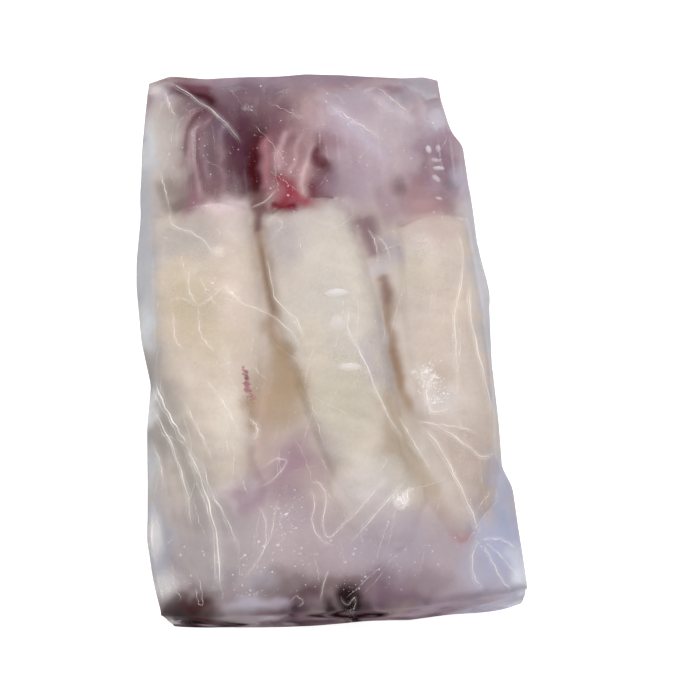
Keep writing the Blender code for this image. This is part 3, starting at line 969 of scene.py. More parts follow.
@dataclass
class Ice:
    """The block's ice: a glaze over the upper squid, deep and milky between them."""

    block: Block
    below: TopMap
    zones: tuple[Patch | Streak, ...]
    veils: tuple[Patch | Streak, ...]
    stains_and_shade: tuple[Patch | Streak, ...]
    haze: Rgb = tone(0xC4B8B2)
    glaze: float = 0.8
    milk: float = 0.30
    fade: float = 4.0
    swell: float = 2.2
    highest: float = 46.0
    join: float = 1.4
    side_cover: float = 0.56
    foot_cover: float = 0.92
    cell: float = 1.15

    def top(self, x: Array, y: Array) -> Array:
        """Height of the ice's top: a soft maximum of its own level and the squid with their glaze."""
        inner = (1 - np.clip(np.abs(x) / 90, 0, 1) ** 8) * (1 - np.clip(np.abs(y) / 152, 0, 1) ** 12)
        level = self.block.top(x, y) + self.swell * inner
        squid = self.below.at(self.below.height, x, y) + self.glaze
        squid = np.maximum(squid, self.below.at(self.below.soft_height, x, y) + self.glaze)
        both = np.logaddexp(level * self.join, squid * self.join) / self.join
        return np.minimum(both, self.highest)

    def build(self, material: bpy.types.Material) -> None:
        """Makes the ice."""
        surface = self.block.shell(self.cell, 0.0, self.top, Ripple(34.0, 31), 0.45)
        x, y, z = surface.points.T
        depth = np.maximum(z - self.below.at(self.below.height, x, y), 0)
        cover = self.milk + (1.0 - self.milk) * (1 - np.exp(-depth / self.fade))
        for veil in self.veils:
            cover = cover + (1 - cover) * np.clip(veil.weight(surface.points), -0.5, 1)
        lower = 1 - ease(z, 26.0, 38.0)
        side = self.side_cover + 0.30 * ease(-y, 138, 149) + 0.12 * ease(y, 128, 146)
        side = np.where(z < 1.0, self.foot_cover, side)
        cover = cover * (1 - lower) + side * lower
        wander = (Ripple(20.0, 61)(surface.points) * 6.0, Ripple(14.0, 63)(surface.points) * 2.0, 0 * z)
        places = surface.points + np.stack(wander, 1) * lower[:, None]
        stray = places[:, :2] + frayed(places) * 0.4
        # Stains, and the painted shade in the gaps between squid, make the ice opaque so that their colour
        # shows.
        for stain_and_shade in self.stains_and_shade:
            cover = np.maximum(cover, ease(stain_and_shade.weight(stray), 0.0, 0.78))
        near = self.below.at(self.below.tint, places[:, 0], places[:, 1])
        wide = self.below.at(self.below.wide_tint, x, y)
        deep = ease(depth, 1.0, 16.0)[:, None]
        colour = blend(blend(near, wide, deep), self.haze, 0.12 + 0.28 * deep)
        surface.carry(ice_colour=painted(colour, places, self.zones), cover=np.clip(cover, 0.02, 1.0))
        add_piece("ice", surface, material, Slot.ICE, "ice_block")


@dataclass(frozen=True)
class Crease:
    """A fold of the film: its path on the block, its width and height, and how white it looks: partly the
    doubled film, partly a painted highlight along the fold.
    """

    path: tuple
    width: float = 1.6
    height: float = 0.8
    white: float = 0.35


@dataclass
class Film:
    """The clear bag, tight on the ice, with its broad folds and its sharp pleats."""

    ice: Ice
    creases: tuple[Crease, ...]
    painted_highlights: tuple[Patch, ...]
    gap: float = 0.35
    clear: float = 0.005
    cell: float = 0.9
    hairlines: int = 110

    def top(self, x: Array, y: Array) -> Array:
        """Height of the film: the ice with slack between its humps, the folds and fine puckers."""
        places = np.stack([x, y], -1)
        slack = np.maximum(Ripple(30.0, 41)(places), 0) * 0.25 + np.maximum(Ripple(9.0, 43)(places), 0) * 0.10
        height = self.ice.top(x, y) + slack
        for crease in self.creases:
            height = height + crease.height * along(crease.path, crease.width, places)
        return height

    def build(self, material: bpy.types.Material) -> None:
        """Makes the film and its pleats."""
        block = self.ice.block
        surface = block.shell(self.cell, self.gap, self.top, Ripple(16.0, 47), 0.55)
        z = surface.points[:, 2]
        veil = np.full(len(z), self.clear)
        for crease in self.creases:
            # Folds whiten the film: partly the doubled film, partly a painted highlight along each fold.
            veil = np.maximum(veil, crease.white * 0.32 * along(crease.path, crease.width, surface.points))
        # Painted highlights: white film cover laid on at the highlight patches.
        for painted_highlight in self.painted_highlights:
            veil = veil + (1 - veil) * painted_highlight.weight(surface.points)
        edge = 1 - ease(z, 30.0, 39.0)
        surface.carry(veil=np.clip(veil * (1 - 0.7 * edge), 0, 0.95))
        surface.points[:, 2] = np.maximum(surface.points[:, 2], 0.0)
        add_piece("bag_film", surface, material, Slot.ICE)
        add_piece("film_pleats", self._pleats(), material, Slot.ICE)

    def _hairlines(self) -> list[Crease]:
        """Seeded hairline creases, mostly along the block and closest together near its low end."""
        rng = np.random.default_rng(83)
        found = []
        for _ in range(self.hairlines):
            x, y = rng.uniform(-80, 80), 145 - 285 * rng.beta(1.6, 1.0)
            heading = rng.normal(0.0, 0.5) + (0.35 if x > 0 else -0.25)
            length, bend = rng.uniform(8, 34), rng.normal(0.0, 0.25)
            share = np.linspace(-0.5, 0.5, 5)
            turn = heading + bend * share
            path = np.column_stack([x + np.sin(turn) * share * length, y + np.cos(turn) * share * length])
            path = self.ice.block.contained(np.column_stack([path, path[:, 0] * 0]), 5.0)[:, :2]
            width, white = rng.uniform(0.7, 1.3), rng.uniform(0.10, 0.34)
            found.append(Crease(tuple(map(tuple, path)), width, 0.25, white))
        return found

    def _pleats(self) -> Surface:
        """Sharp pleats: thin flattened tubes that stand on the film along the folds, whose white is partly
        painted highlight.
        """
        made = []
        twins = [(crease, 0.9, 0.5) for crease in self.creases if crease.width > 1.3]
        single = [(crease, 0.0, 1.0) for crease in (*self.creases, *self._hairlines())]
        for crease, beside, size in single + twins:
            flat = smooth_line(crease.path, 26 * len(crease.path))
            share = np.linspace(0, 1, len(flat))
            waver = 0.22 * np.sin(share * 31 + crease.path[0][0])[:, None]
            way = unit(np.gradient(flat, axis=0))
            apart = beside * crease.width * (0.75 + 0.25 * np.sin(share * 9))[:, None]
            flat = flat + waver + way[:, ::-1] * (1, -1) * apart
            height = self.top(flat[:, 0], flat[:, 1]) + self.gap + 0.12
            line = np.column_stack([flat, height])
            thin = np.sin(np.pi * np.clip(share, 0.02, 0.98)) ** 0.6
            beat = 0.8 + 0.2 * np.sin(share * 19 + crease.path[0][1])
            half = crease.width * size * 0.13 * thin * beat + 0.04
            surface = outward(swept(line, half, half * 0.8 + 0.05, 8, 1.4))
            # A pleat's white is partly the doubled film, partly a painted highlight along its ridge.
            ring = np.repeat(np.minimum(crease.white * size * 1.35, 0.95) * thin * beat, 8)
            surface.carry(veil=np.concatenate([ring, [0.0, 0.0]]))
            made.append(surface)
        return Surface.joined(made)


@dataclass(frozen=True)
class Speck:
    """A group of frost grains or air bubbles: where they lie, how many, how large and how white."""

    x: float
    y: float
    across: float
    along: float
    count: int
    size: float
    white: float = 0.8
    turn: float = 0.0
    long: float = 1.0
    colour: int = 0xF3F0F3


@dataclass
class Frost:
    """Frost grains and trapped air between the ice and the film."""

    film: Film
    groups: tuple[Speck, ...]
    sides: int = 8
    lift: float = 0.12
    margin: float = 8.0

    def build(self, material: bpy.types.Material) -> None:
        """Makes the grains: low domes, placed in soft ovals by seeded draws."""
        rng = np.random.default_rng(71)
        count, rim = self.sides, ring_of(self.sides)
        rows = [np.column_stack([rim * r, np.full(count, h)]) for r, h in ((1.0, -0.05), (0.62, 0.42))]
        dome = np.concatenate([*rows, [[0.0, 0.0, 0.55]]])
        wall = np.asarray(grid_faces(2, count, True))
        foot = np.arange(count)
        cap = np.stack([count + foot, count + (foot + 1) % count, np.full(count, 2 * count)], 1)
        shade = np.concatenate([np.full(count, 0.1), np.full(count, 0.8), [1.0]])
        made = []
        for group in self.groups:
            many = group.count > 1
            draw = rng.normal(size=(group.count, 2)) * (group.across, group.along) * 0.6
            place = rotated(draw, math.radians(group.turn)) * many + (group.x, group.y)
            level = np.column_stack([place, place[:, 0] * 0])
            inside = self.film.ice.block.contained(level, self.margin)[:, :2]
            place = place[np.abs(inside - place).max(1) < 1e-6]
            size = group.size * rng.lognormal(0.0, 0.5 * many, len(place))
            spin = rng.uniform(-0.5, 0.5, len(place)) * many + math.radians(group.turn)
            grain = dome[None] * size[:, None, None] * (1.0, group.long, 0.45)
            grain[..., :2] = rotated(grain, spin[:, None]) + place[:, None]
            grain[..., 2] += self.film.ice.top(grain[..., 0], grain[..., 1]) + self.lift
            start = (np.arange(len(place)) * len(dome))[:, None, None]
            faces = (wall + start).reshape(-1, 4).tolist() + (cap + start).reshape(-1, 3).tolist()
            white = group.white * rng.uniform(0.6, 1.0, len(place))
            points = grain.reshape(-1, 3)
            colours = np.tile(tone(group.colour), (len(points), 1))
            made.append(Surface(points, faces, {"cover": (white[:, None] * shade).ravel(), "grain": colours}))
        add_piece("frost", Surface.joined(made), material, Slot.ICE)


@dataclass
class Studio:
    """Plain pale floor, soft light and the photograph's camera."""

    target: tuple[float, float, float] = (0.0168, -0.0226, 0.042)
    tilt: float = 22.0
    roll: float = -5.549
    distance: float = 0.62
    lens: float = 63.63

    def floor(self) -> None:
        """A wide pale floor that curves up behind: z grows as the square of the distance past 30 m."""
        u, v = np.meshgrid(np.linspace(-40, 40, 33), np.linspace(-40, 40, 33))
        lift = np.clip(v - 30, 0, None) ** 2 * 0.1
        mesh = bpy.data.meshes.new("floor")
        points = np.stack([u, v, lift - 0.0005], -1).reshape(-1, 3)
        mesh.from_pydata(points.tolist(), [], grid_faces(*u.shape, False))
        mesh.shade_smooth()
        g = Graph("pale_floor", Roughness=0.9, Emission_Color=(1.0, 1.0, 1.0, 1.0), Emission_Strength=0.85)
        g.feed("Base Color", g.mix(g.noise(3.0), tone(0xBEBEBE), tone(0xC1C1C1)))
        mesh.materials.append(g.material)
        placed("floor", mesh)

    def light(self, name: str, place: Rgb, watts: float, size: float) -> None:
        """An area light that faces the block."""
        data = bpy.data.lights.new(name, "AREA")
        data.energy = watts
        data.shape = "DISK"
        data.size = size
        lamp = placed(name, data)
        lamp.location = place
        lamp.rotation_euler = (Vector(self.target) - Vector(place)).to_track_quat("-Z", "Y").to_euler()

    def camera(self) -> None:
        """The camera: looks down and away from the near end, tilted and rolled as in the photograph."""
        tilt, roll = math.radians(self.tilt), math.radians(self.roll)
        back = Vector((0.0, -math.sin(tilt), math.cos(tilt)))
        level, rising = Vector((1.0, 0.0, 0.0)), Vector((0.0, math.cos(tilt), math.sin(tilt)))
        right = level * math.cos(roll) + rising * math.sin(roll)
        up = rising * math.cos(roll) - level * math.sin(roll)
        data = bpy.data.cameras.new("camera")
        data.lens = self.lens
        data.sensor_width = 36.0
        data.clip_start = 0.01
        eye = placed("camera", data)
        turn = Matrix((right, up, back)).transposed().to_4x4()
        eye.matrix_world = Matrix.Translation(Vector(self.target) + back * self.distance) @ turn
        bpy.context.scene.camera = eye

    def build(self) -> None:
        """Sets up floor, lights, world and camera."""
        self.camera()
        self.floor()
        self.light("overhead", (0.25, 0.55, 1.5), 12.5, 1.3)
        self.light("window", (-1.1, 0.3, 0.9), 5.5, 0.5)
        self.light("spark", (0.5, 0.9, 0.9), 3.5, 0.12)
        world = bpy.data.worlds.new("studio")
        world.use_nodes = True
        light = world.node_tree.nodes["Background"].inputs
        light["Color"].default_value, light["Strength"].default_value = (1.0, 1.0, 1.0, 1.0), 0.40
        bpy.context.scene.world = world
        bpy.context.scene.view_settings.view_transform = "Standard"


# Marks on the flesh and in the ice over it, from above: stains, milky places and, in the gaps between squid,
# partly painted shade. A row is a patch: x, y, half width across, half length along, colour, strength, turn
# in degrees and fray; or a streak: path, half width, colour, strength and fray.
UPPER_STAINS_AND_SHADE = marks((
    # Blood and stained skin about the left squid's arms.
    (-31, 100, 12, 25, 0x502A39, 0.88, 4), (-25, 87, 7.5, 20, 0x380E1E, 0.95, 6),
    (-33, 98, 8, 11, 0x421E2E, 0.85), (-43, 121, 10, 8, 0x5C3646, 0.82), (-41, 112, 6, 7, 0x746276, 0.5),
    (-47, 88, 12, 14, 0x7C5C64, 0.7), (-69, 76, 8, 13, 0x847470, 0.8), (-65, 70, 5, 6, 0x70625C, 0.7),
    (-58, 71, 6, 11, 0x825C68, 0.8), (-67, 95, 7, 10, 0xAC9896, 0.4),
    # The same at the far end and about the middle squid's arms.
    (-32, 132, 30, 9, 0x6C5460, 0.75), (-14, 117, 13, 10, 0x6A4A54, 0.85),
    (-19, 104, 8, 10, 0x3E121E, 0.92), (-7, 91, 13, 18, 0x9C7276, 0.65), (-9, 70, 11, 9, 0x92505C, 0.75),
    (-9, 105, 6, 9, 0x724A56, 0.8), (-23, 63, 5, 8, 0x54202A, 0.88), (2, 61, 8, 5, 0x8C4E58, 0.65),
    (14, 73, 8, 9, 0x74505E, 0.75), (24, 72, 9, 13, 0x887078, 0.75), (11, 88, 6, 11, 0x5C2E38, 0.85),
    (8, 70, 7, 6, 0x6C3C48, 0.65),
    # The same about the right squid's arms.
    (72, 93, 9, 11, 0x9A8492, 0.65), (76, 107, 8, 9, 0xB8B2BE, 0.75), (77, 79, 6, 9, 0x866676, 0.65),
    (83, 67, 5, 11, 0xB2AABA, 0.7), (60, 67, 8, 7, 0x9C7880, 0.5), (60, 81, 7, 6, 0xC0ACB4, 0.45),
    (62, 55, 12, 6, 0xA8868A, 0.7), (((50, 46), (60, 48), (72, 47)), 3.0, 0xBEA4A0, 0.55),
    (((58, 92), (55, 80), (56, 66)), 2.2, 0xB69EA6, 0.5),
    (((67, 90), (66, 78), (68, 64)), 1.8, 0x805C68, 0.5),
    # Blood in the far left corner's fold.
    (((-66, 142), (-58, 139), (-52, 136), (-48, 134), (-44, 126)), 3.4, 0x3C0A18, 0.96),
    (((-68, 145), (-56, 142), (-44, 139)), 3.0, 0x603240, 0.85),
    # Edges of the left squid's arms.
    (((-44, 127), (-51, 126), (-56, 120), (-59, 114), (-61, 106), (-61, 96)), 1.5, 0x5C323A, 0.75),
    (((-45, 122), (-52, 117), (-57, 112), (-58, 104), (-58, 95), (-56, 85), (-54, 77),
     (-54, 69)), 2.0, 0xB4989E, 0.65),
    (((-42, 119), (-47, 108), (-47, 98), (-46, 84)), 2.2, 0x6C5860, 0.6),
    (((-41, 125), (-49, 121), (-54, 111), (-55, 100), (-53, 84), (-50, 74)), 1.3, 0x74525C, 0.6),
    (((-52, 108), (-51, 95), (-50, 82)), 1.4, 0xA0868E, 0.5),
    (((-43, 102), (-42, 90), (-41, 78), (-43, 70)), 1.3, 0x9E828C, 0.5),
    (((-37, 112), (-38, 100), (-37, 86), (-37, 74)), 1.5, 0x5C3E4A, 0.6),
    (((-38, 116), (-42, 108), (-42, 96)), 1.2, 0x967E8A, 0.5),
    (((-30, 128), (-30, 106), (-33, 96), (-31, 85), (-28, 70)), 3.2, 0x54303E, 0.8),
    (((-18, 108), (-23, 97), (-25, 88), (-25, 80), (-23, 67)), 3.0, 0x40040E, 0.95),
    # Edges of the middle squid's arms, and the blood at its collar.
    (((-14, 107), (-18, 100), (-18, 90), (-19, 81), (-19, 72)), 2.6, 0xA67078, 0.75),
    (((-3, 109), (-8, 104), (-11, 96), (-12, 90), (-10, 81)), 2.0, 0xC6A4AA, 0.62),
    (((9, 101), (5, 90), (1, 82), (-1, 74), (1, 65)), 2.2, 0xC6A8AA, 0.75),
    (((-4, 104), (-6, 94), (-4, 86)), 1.8, 0x927476, 0.5),
    (((3, 108), (-1, 98), (-3, 88), (-6, 80)), 1.3, 0xBEA2A6, 0.5),
    (((8, 116), (12, 106), (16, 96), (17, 86)), 2.0, 0xB298A0, 0.5), (16, 99, 7, 8, 0x8A6672, 0.6),
    (((-15, 82), (-10, 78), (-7, 72), (-9, 66), (-13, 61)), 2.8, 0x882836, 0.75),
    (((-7, 72), (-2, 66), (4, 60)), 2.0, 0x923844, 0.75),
    (((-18, 64), (-11, 61), (-2, 61)), 3.5, 0x681024, 0.95),
    (((10, 97), (8, 88), (13, 83)), 2.6, 0x56242E, 0.8), (((5, 74), (6, 64)), 2.2, 0x642C3A, 0.75),
    # Milky places beside the arms.
    (((18, 125), (34, 102), (46, 84)), 3.2, 0xC2B8CA, 0.5),
    (((42, 125), (56, 114), (64, 105)), 3.0, 0xCEC2CC, 0.5), (33, 74, 17, 18, 0xAA96A4, 0.7),
    (45, 56, 9, 14, 0x9A828C, 0.75), (22, 58, 8, 4, 0xB09EA4, 0.5), (30, 126, 14, 6, 0xB0AAB8, 0.45),
    (52, 127, 8, 3, 0x7C5E6E, 0.65), (43, 30, 5, 9, 0x9E94A2, 0.55), (26, -29, 5, 14, 0xB0A6AE, 0.55),
    (70, 66, 6, 6, 0xB098AA, 0.45),
    # The gap between the middle and the right squid: partly its tan colour, partly painted shade in the
    # crevice.
    (31, 43, 6, 13, 0x92797C, 0.65, 3),
    (((30, 52), (32, 43), (34, 34), (35, 26)), 5.0, 0x82686E, 0.85, 0.5), (35, 21, 6, 5, 0xC4BCC4, 0.6),
    (((37, 14), (38, 2), (37, -12), (38, -26), (39, -40), (41, -51), (46, -64)), 3.7, 0x967C68, 0.9, 0.4),
    (((36, 17), (38, 9), (38, 0)), 3.0, 0x866864, 0.75),
    (((38, -22), (39, -36), (40, -48)), 2.4, 0x886C54, 0.6),
    (((33, 4), (34, -20), (35, -42), (39, -57)), 2.4, 0xC0BCC0, 0.45),
    (((36, -44), (35, -56), (34, -68), (32, -82)), 6.5, 0xB09C88, 0.6, 0.8),
    # The gap between the left and the middle squid, partly its tan colour and partly painted shade in the
    # crevice, and the mauve fin below it.
    (((-25, 68), (-24, 56), (-25, 43), (-23, 30), (-22, 18), (-21, 4), (-21, -10), (-17, -22),
     (-11, -34)), 3.8, 0x987F6C, 0.86, 0.4),
    (((-25, 68), (-24, 58), (-25, 47)), 2.8, 0x6E5054, 0.85),
    (((-24, 44), (-23, 28), (-21, 12), (-20, -2)), 1.8, 0x7A6252, 0.65),
    (-17, -30, 8.5, 18, 0xA0876D, 0.8, 6, 0.7), (-20, -46, 14, 16, 0xA68E74, 0.8, -4, 0.8),
    (-30, -50, 7, 20, 0xAC907A, 0.6, 0, 0.8), (-30, -70, 8, 10, 0xB29892, 0.6),
    (-12, -78, 15, 17, 0xA0868C, 0.75),
    (((-8, -72), (-20, -80), (-31, -90), (-46, -98)), 6.5, 0x9C7E8E, 0.65, 1.2),
    (-20, -92, 9, 7, 0x9E8892, 0.55),
    # The right squid's tail.
    (((38, -66), (39, -77), (44, -90), (52, -103)), 4.0, 0xB4A490, 0.6),
    (((45, -72), (56, -96), (63, -114)), 3.4, 0xD6CEC6, 0.45), (60, -122, 5, 4, 0xB69294, 0.6),
    (74, -106, 4, 14, 0xBCA692, 0.5),
))
LOWER_STAINS = marks((
    # Heads and arms of the lower squid, dark along the near edge.
    (-20, -138, 27, 7, 0x806E74, 0.72), (22, -141, 17, 8, 0x806C78, 0.75),
    (-76, -143, 8, 7, 0x4A3A3E, 0.85), (-58, -139, 12, 5, 0x86747A, 0.5),
    (-66, -154, 16, 13, 0x140408, 1.0), (-66, -141, 9, 5, 0x3C161A, 0.92),
    (-57, -145, 4, 2.5, 0x5C3638, 0.5), (-18, -144, 8, 5, 0x583E48, 0.75), (-19, -150, 6, 4, 0x361C2A, 0.9),
    (-5, -150, 3.2, 5, 0x240C14, 0.95), (6, -148, 7.2, 6.6, 0x1A0208, 1.0),
    (14, -150, 3.2, 4.5, 0x4A303E, 0.7), (8, -141, 10, 5, 0x62464E, 0.4), (20, -146, 4, 4, 0x684E5C, 0.4),
    (-10, -143, 5, 5, 0x583E46, 0.6), (-26, -137, 9, 6, 0x705E60, 0.65),
    (((-44, -150), (-28, -151), (-12, -152)), 3.0, 0x705C64, 0.6),
    (((16, -147), (32, -148), (48, -149)), 4.2, 0x6E5664, 0.75, 0.8), (-42, -144, 9, 4.5, 0xB6B0BE, 0.8),
    (-40, -154, 9, 3.5, 0x5C444A, 0.7), (-28, -151, 4, 3, 0x543A46, 0.6),
    (-29, -145, 7, 3.5, 0xB4AAB8, 0.6), (70, -144, 15, 9, 0xB2AEC2, 0.7), (87, -142, 6, 12, 0xDEE2EC, 0.8),
    (58, -151, 14, 4, 0x9E8E9E, 0.65), (78, -152, 9, 4, 0xBAB4C6, 0.7), (-56, -131, 8, 6, 0x908992, 0.55),
    (-35, -134, 7, 5, 0xAEAAB4, 0.45), (-5, -137, 8, 5, 0x725E5A, 0.55), (46, -142, 8, 5, 0x887680, 0.5),
    (45, -152, 8, 3, 0xA696AC, 0.45),
))


def arms(rows: tuple) -> tuple[Arm, ...]:
    """Arms from rows of their values."""
    return tuple(Arm(*row) for row in rows)


class Upper(Enum):
    """Settings that the upper squid share."""

    LEVEL = 33.5
    THICKNESS = 22.4
    HEAD_LEVEL = 33.0


def upper_squid() -> list[Squid]:
    """The three squid of the upper layer, heads at the far end."""
    level, thickness, head = Upper.LEVEL.value, Upper.THICKNESS.value, Upper.HEAD_LEVEL.value
    left = Squid(
        "squid_left", ((-56, 64), (-53.5, 0), (-57, -65), (-57, -136)),
        26, 28, 28, level, thickness, (-44, 82, head), 1,
        arms((
            (-36, 141, -74, 72, 12.5, 2.0, 0.15), (-38, 128, -62, 76, 12.0, 2.6, 0.45),
            (-35, 137, -21, 80, 11.0, 1.6, -0.6), (-46, 148, -83, 100, 10.5, 1.2, 0.0),
            (-34, 136, -69, 80, 9.5, 3.0, -0.25), (-40, 119, -54, 78, 10.5, 3.0, 0.1),
            (-43, 108, -49, 84, 9.0, 2.7, 0.25), (-31, 124, -24, 74, 9.0, 2.4, -0.7),
            (-38, 130, -65, 92, 3.6, 3.2, -0.8), (-41, 145, -60, 104, 7.0, 3.0, 0.3),
            (-40, 124, -60, 72, 5.5, 3.2, 0.5), (-50, 150, -20, 104, 9.0, 1.2, -0.1),
            (-44, 100, -38, 74, 9.0, 3.0, -0.1),
        )),
        tone(0xD6C8BD), tone(0xB8A69C), tone(0x845C64), tone(0x86626A),
        marks((
            (-62, 12, 17, 27, 0xC3B59B, 0.68), (-52, -12, 16, 14, 0xCEBEA4, 0.45),
            (-60, -66, 22, 30, 0xCCC2B6, 0.55), (-44, -56, 11, 18, 0xE2D9CF, 0.65),
            (-60, 48, 22, 14, 0xB0AAA8, 0.7), (-40, 24, 9, 26, 0xDAC8BE, 0.4),
            (-36, 52, 10, 8, 0xD6CAC6, 0.5), (-44, 64, 16, 7, 0xCEB8B8, 0.5),
        )) + UPPER_STAINS_AND_SHADE + marks(((-40, 65, 11, 6, 0xD6C2C4, 0.65),)))
    middle = Squid(
        "squid_middle", ((0, 61), (8, -5), (18.5, -70), (31, -124)),
        23, 25.8, 23.5, level, thickness, (1, 79, head), 1,
        arms((
            (-9, 132, 18, 72, 12.0, 2.0, 0.25), (6, 143, -14, 72, 10.5, 2.4, 0.35),
            (-2, 141, 30, 80, 11.5, 1.6, 0.1), (-8, 118, 9, 74, 10.5, 3.2, 0.6),
            (-5, 107, 4, 78, 9.0, 2.7, 0.1), (-12, 137, 24, 84, 9.0, 2.8, 0.4),
            (4, 134, -20, 76, 8.5, 2.2, -0.45), (-3, 147, 38, 92, 7.5, 2.2, 0.25),
            (-9, 126, 13, 70, 5.5, 3.1, 0.75), (-14, 112, -6, 70, 6.5, 2.9, 0.6),
            (2, 100, 8, 72, 8.0, 2.9, -0.2),
        )),
        tone(0xD1C9C0), tone(0xBCAEA4), tone(0x8C6066), tone(0x967076),
        marks((
            (0, 50, 24, 14, 0xC6BEBC, 0.5), (-12, 40, 9, 20, 0xB2A4A8, 0.6),
            (12, -50, 18, 22, 0xC2BAA6, 0.55), (8, 10, 12, 24, 0xCCC7C4, 0.35),
        )) + UPPER_STAINS_AND_SHADE)
    right = Squid(
        "squid_right", ((66, 45), (65.5, -15), (66, -70), (61, -122)),
        19, 20.5, 19, level, thickness - 2, (65, 63, head), 1,
        arms((
            (59, 114, 79, 58, 11.5, 2.1, 0.0), (57, 124, 40, 62, 10.5, 1.8, 0.1),
            (68, 128, 46, 80, 11.0, 2.2, 0.35), (62, 104, 73, 62, 9.5, 3.0, -0.2),
            (66, 120, 84, 74, 9.0, 2.6, 0.05), (60, 131, 35, 86, 8.5, 1.8, 0.25),
            (57, 112, 47, 68, 9.0, 2.9, 0.1), (62, 138, 28, 96, 7.5, 2.4, 0.35),
            (62, 94, 68, 58, 9.0, 2.7, -0.3), (52, 128, 22, 110, 8.0, 1.2, 0.1),
        )),
        tone(0xD0C2B9), tone(0xB8A69C), tone(0x865C64), tone(0x8E6E7A),
        marks((
            (66, 38, 18, 8, 0xC4AEA8, 0.45), (62, -112, 10, 10, 0xB28E82, 0.5),
            (54, 18, 9, 16, 0xC4C0B0, 0.45), (60, -52, 13, 13, 0xDAD4D4, 0.6),
            (66, -84, 18, 18, 0xBAA89E, 0.5), (58, -43, 12, 6, 0xB8A490, 0.5),
            (55, 34, 8, 12, 0xE0D4D2, 0.4),
        )) + UPPER_STAINS_AND_SHADE)
    return [left, middle, right]


def lower_squid() -> list[Squid]:
    """The three squid of the lower layer, heads at the near end."""
    flesh = (tone(0xC8B6AC), tone(0xB2A098), tone(0x8C6068), tone(0x80505A), LOWER_STAINS)
    left = Squid(
        "under_squid_left", ((-64, -90), (-61, -25), (-66, 50), (-72, 122)),
        22, 25, 18, 9.6, 22, (-66, -108, 13.5), -1,
        arms((
            (-74, -143.5, -54, -112, 11, 4.2), (-58, -146, -40, -118, 10, 4.2, 0.2),
            (-79, -138, -62, -108, 9, 9.0, 0.1), (-66, -144, -82, -114, 8, 8.0, 0.3),
            (-54, -141, -38, -110, 8, 9.5), (-70, -146, -48, -120, 6, 12.0, 0.3),
        )),
        *flesh)
    middle = Squid(
        "under_squid_middle", ((-4, -92), (-8, -30), (-10, 40), (-14, 112)),
        21, 25.5, 25, 9.6, 22, (-1, -110, 13.5), -1,
        arms((
            (-6, -148, 12, -112, 11, 4.2), (-10, -147, -28, -116, 10, 4.2, 0.2),
            (0, -142, -18, -112, 9, 9.0, 0.1), (4, -147, 20, -116, 8, 8.5, 0.3),
            (-12, -148, -30, -122, 7, 11.5), (-2, -150, 16, -124, 6, 12.5, 0.2),
        )),
        *flesh)
    right = Squid(
        "under_squid_right", ((50, -94), (45, -35), (42, 30), (46, 100)),
        21, 24.5, 24, 9.6, 21, (50, -112, 13.5), -1,
        arms((
            (42, -149, 62, -114, 11, 4.2), (58, -149, 74, -122, 10, 4.2, 0.2),
            (48, -144, 30, -114, 9, 9.0, 0.2), (54, -149, 70, -118, 8, 8.5, 0.4),
            (44, -150, 26, -124, 7, 11.5, 0.3), (60, -146, 80, -120, 6, 11.0, 0.4),
        )),
        *flesh)
    return [left, middle, right]


# The ice's own colour, zone by zone; how milky it is; the film's folds, with half width, height and
# whiteness, partly painted highlight; its painted highlights; and groups of frost, with count, size,
# whiteness, turn, length and colour.
ICE_ZONES = marks((
    # Over the arms and along the far end.
    (0, 112, 84, 46, 0x967C84, 0.45), (-46, 100, 24, 32, 0x806068, 0.35), (-4, 92, 12, 26, 0xA08082, 0.3),
    (28, 108, 18, 20, 0xB8A8B6, 0.7), (52, 104, 18, 26, 0xC4B8BE, 0.75), (74, 74, 13, 28, 0x9A8490, 0.6),
    (-72, 106, 11, 40, 0xBEB6B0, 0.92), (-71, 140, 8, 7, 0xBAAEB6, 0.7), (10, 142, 90, 8, 0x8A7A8A, 0.8),
    (67, 127, 16, 11, 0x9C96A2, 0.85),
    # Over the tails and along the near end.
    (-17, -104, 16, 12, 0xAA969E, 0.8), (16, -96, 14, 12, 0xDAD0D6, 0.6), (27, -110, 15, 13, 0xB6A8B2, 0.6),
    (-55, -116, 34, 30, 0xAEA3A8, 0.9), (-14, -122, 34, 20, 0xB4A5AA, 0.75),
    (32, -126, 32, 18, 0xA89BA8, 0.8), (78, -126, 17, 26, 0xA8ACC6, 0.9), (82, -96, 7, 16, 0xAEB0C6, 0.75),
    # Along the two sides.
    (-86, 50, 8, 84, 0xA6A7AE, 0.9), (-87, -50, 8, 48, 0x8C8886, 0.92), (-82, -112, 8, 28, 0xA4A7B4, 0.85),
    (88, 0, 6, 84, 0xB8B9C2, 0.8), (0, -146, 60, 7, 0x8C7882, 0.6),
    (((-88, -2), (-83, -22), (-77, -44), (-74, -62), (-66, -80), (-62, -102)), 11.5, 0x958E8A, 0.9, 0.8),
    (-86, 2, 6, 15, 0xCACCD0, 0.8), (-85, -30, 6, 9, 0x908E92, 0.75), (-74, -55, 8, 9, 0x867F7A, 0.7),
    (-65, -99, 9, 10, 0x928A8A, 0.55), (81, -114, 6, 9, 0x969CB0, 0.6), (-86, -45, 5, 9, 0xD6D8DC, 0.7),
    (-86, -72, 5, 10, 0xC8CAD0, 0.5), (-81, 110, 5, 16, 0xC8CED4, 0.5),
    # Milky spots by the tails and the left collar.
    (-43, -91, 8, 9, 0xD6CCD2, 0.65), (21, -91, 8, 12, 0xE8E0E2, 0.5), (60, -111, 7, 7, 0xD6C8C4, 0.5),
    (-54, -101, 10, 10, 0xA49A9C, 0.6), (-60, -124, 18, 12, 0x9E9598, 0.6),
    (-41, 65, 14, 6, 0xDECCD0, 0.75),
)) + UPPER_STAINS_AND_SHADE + LOWER_STAINS
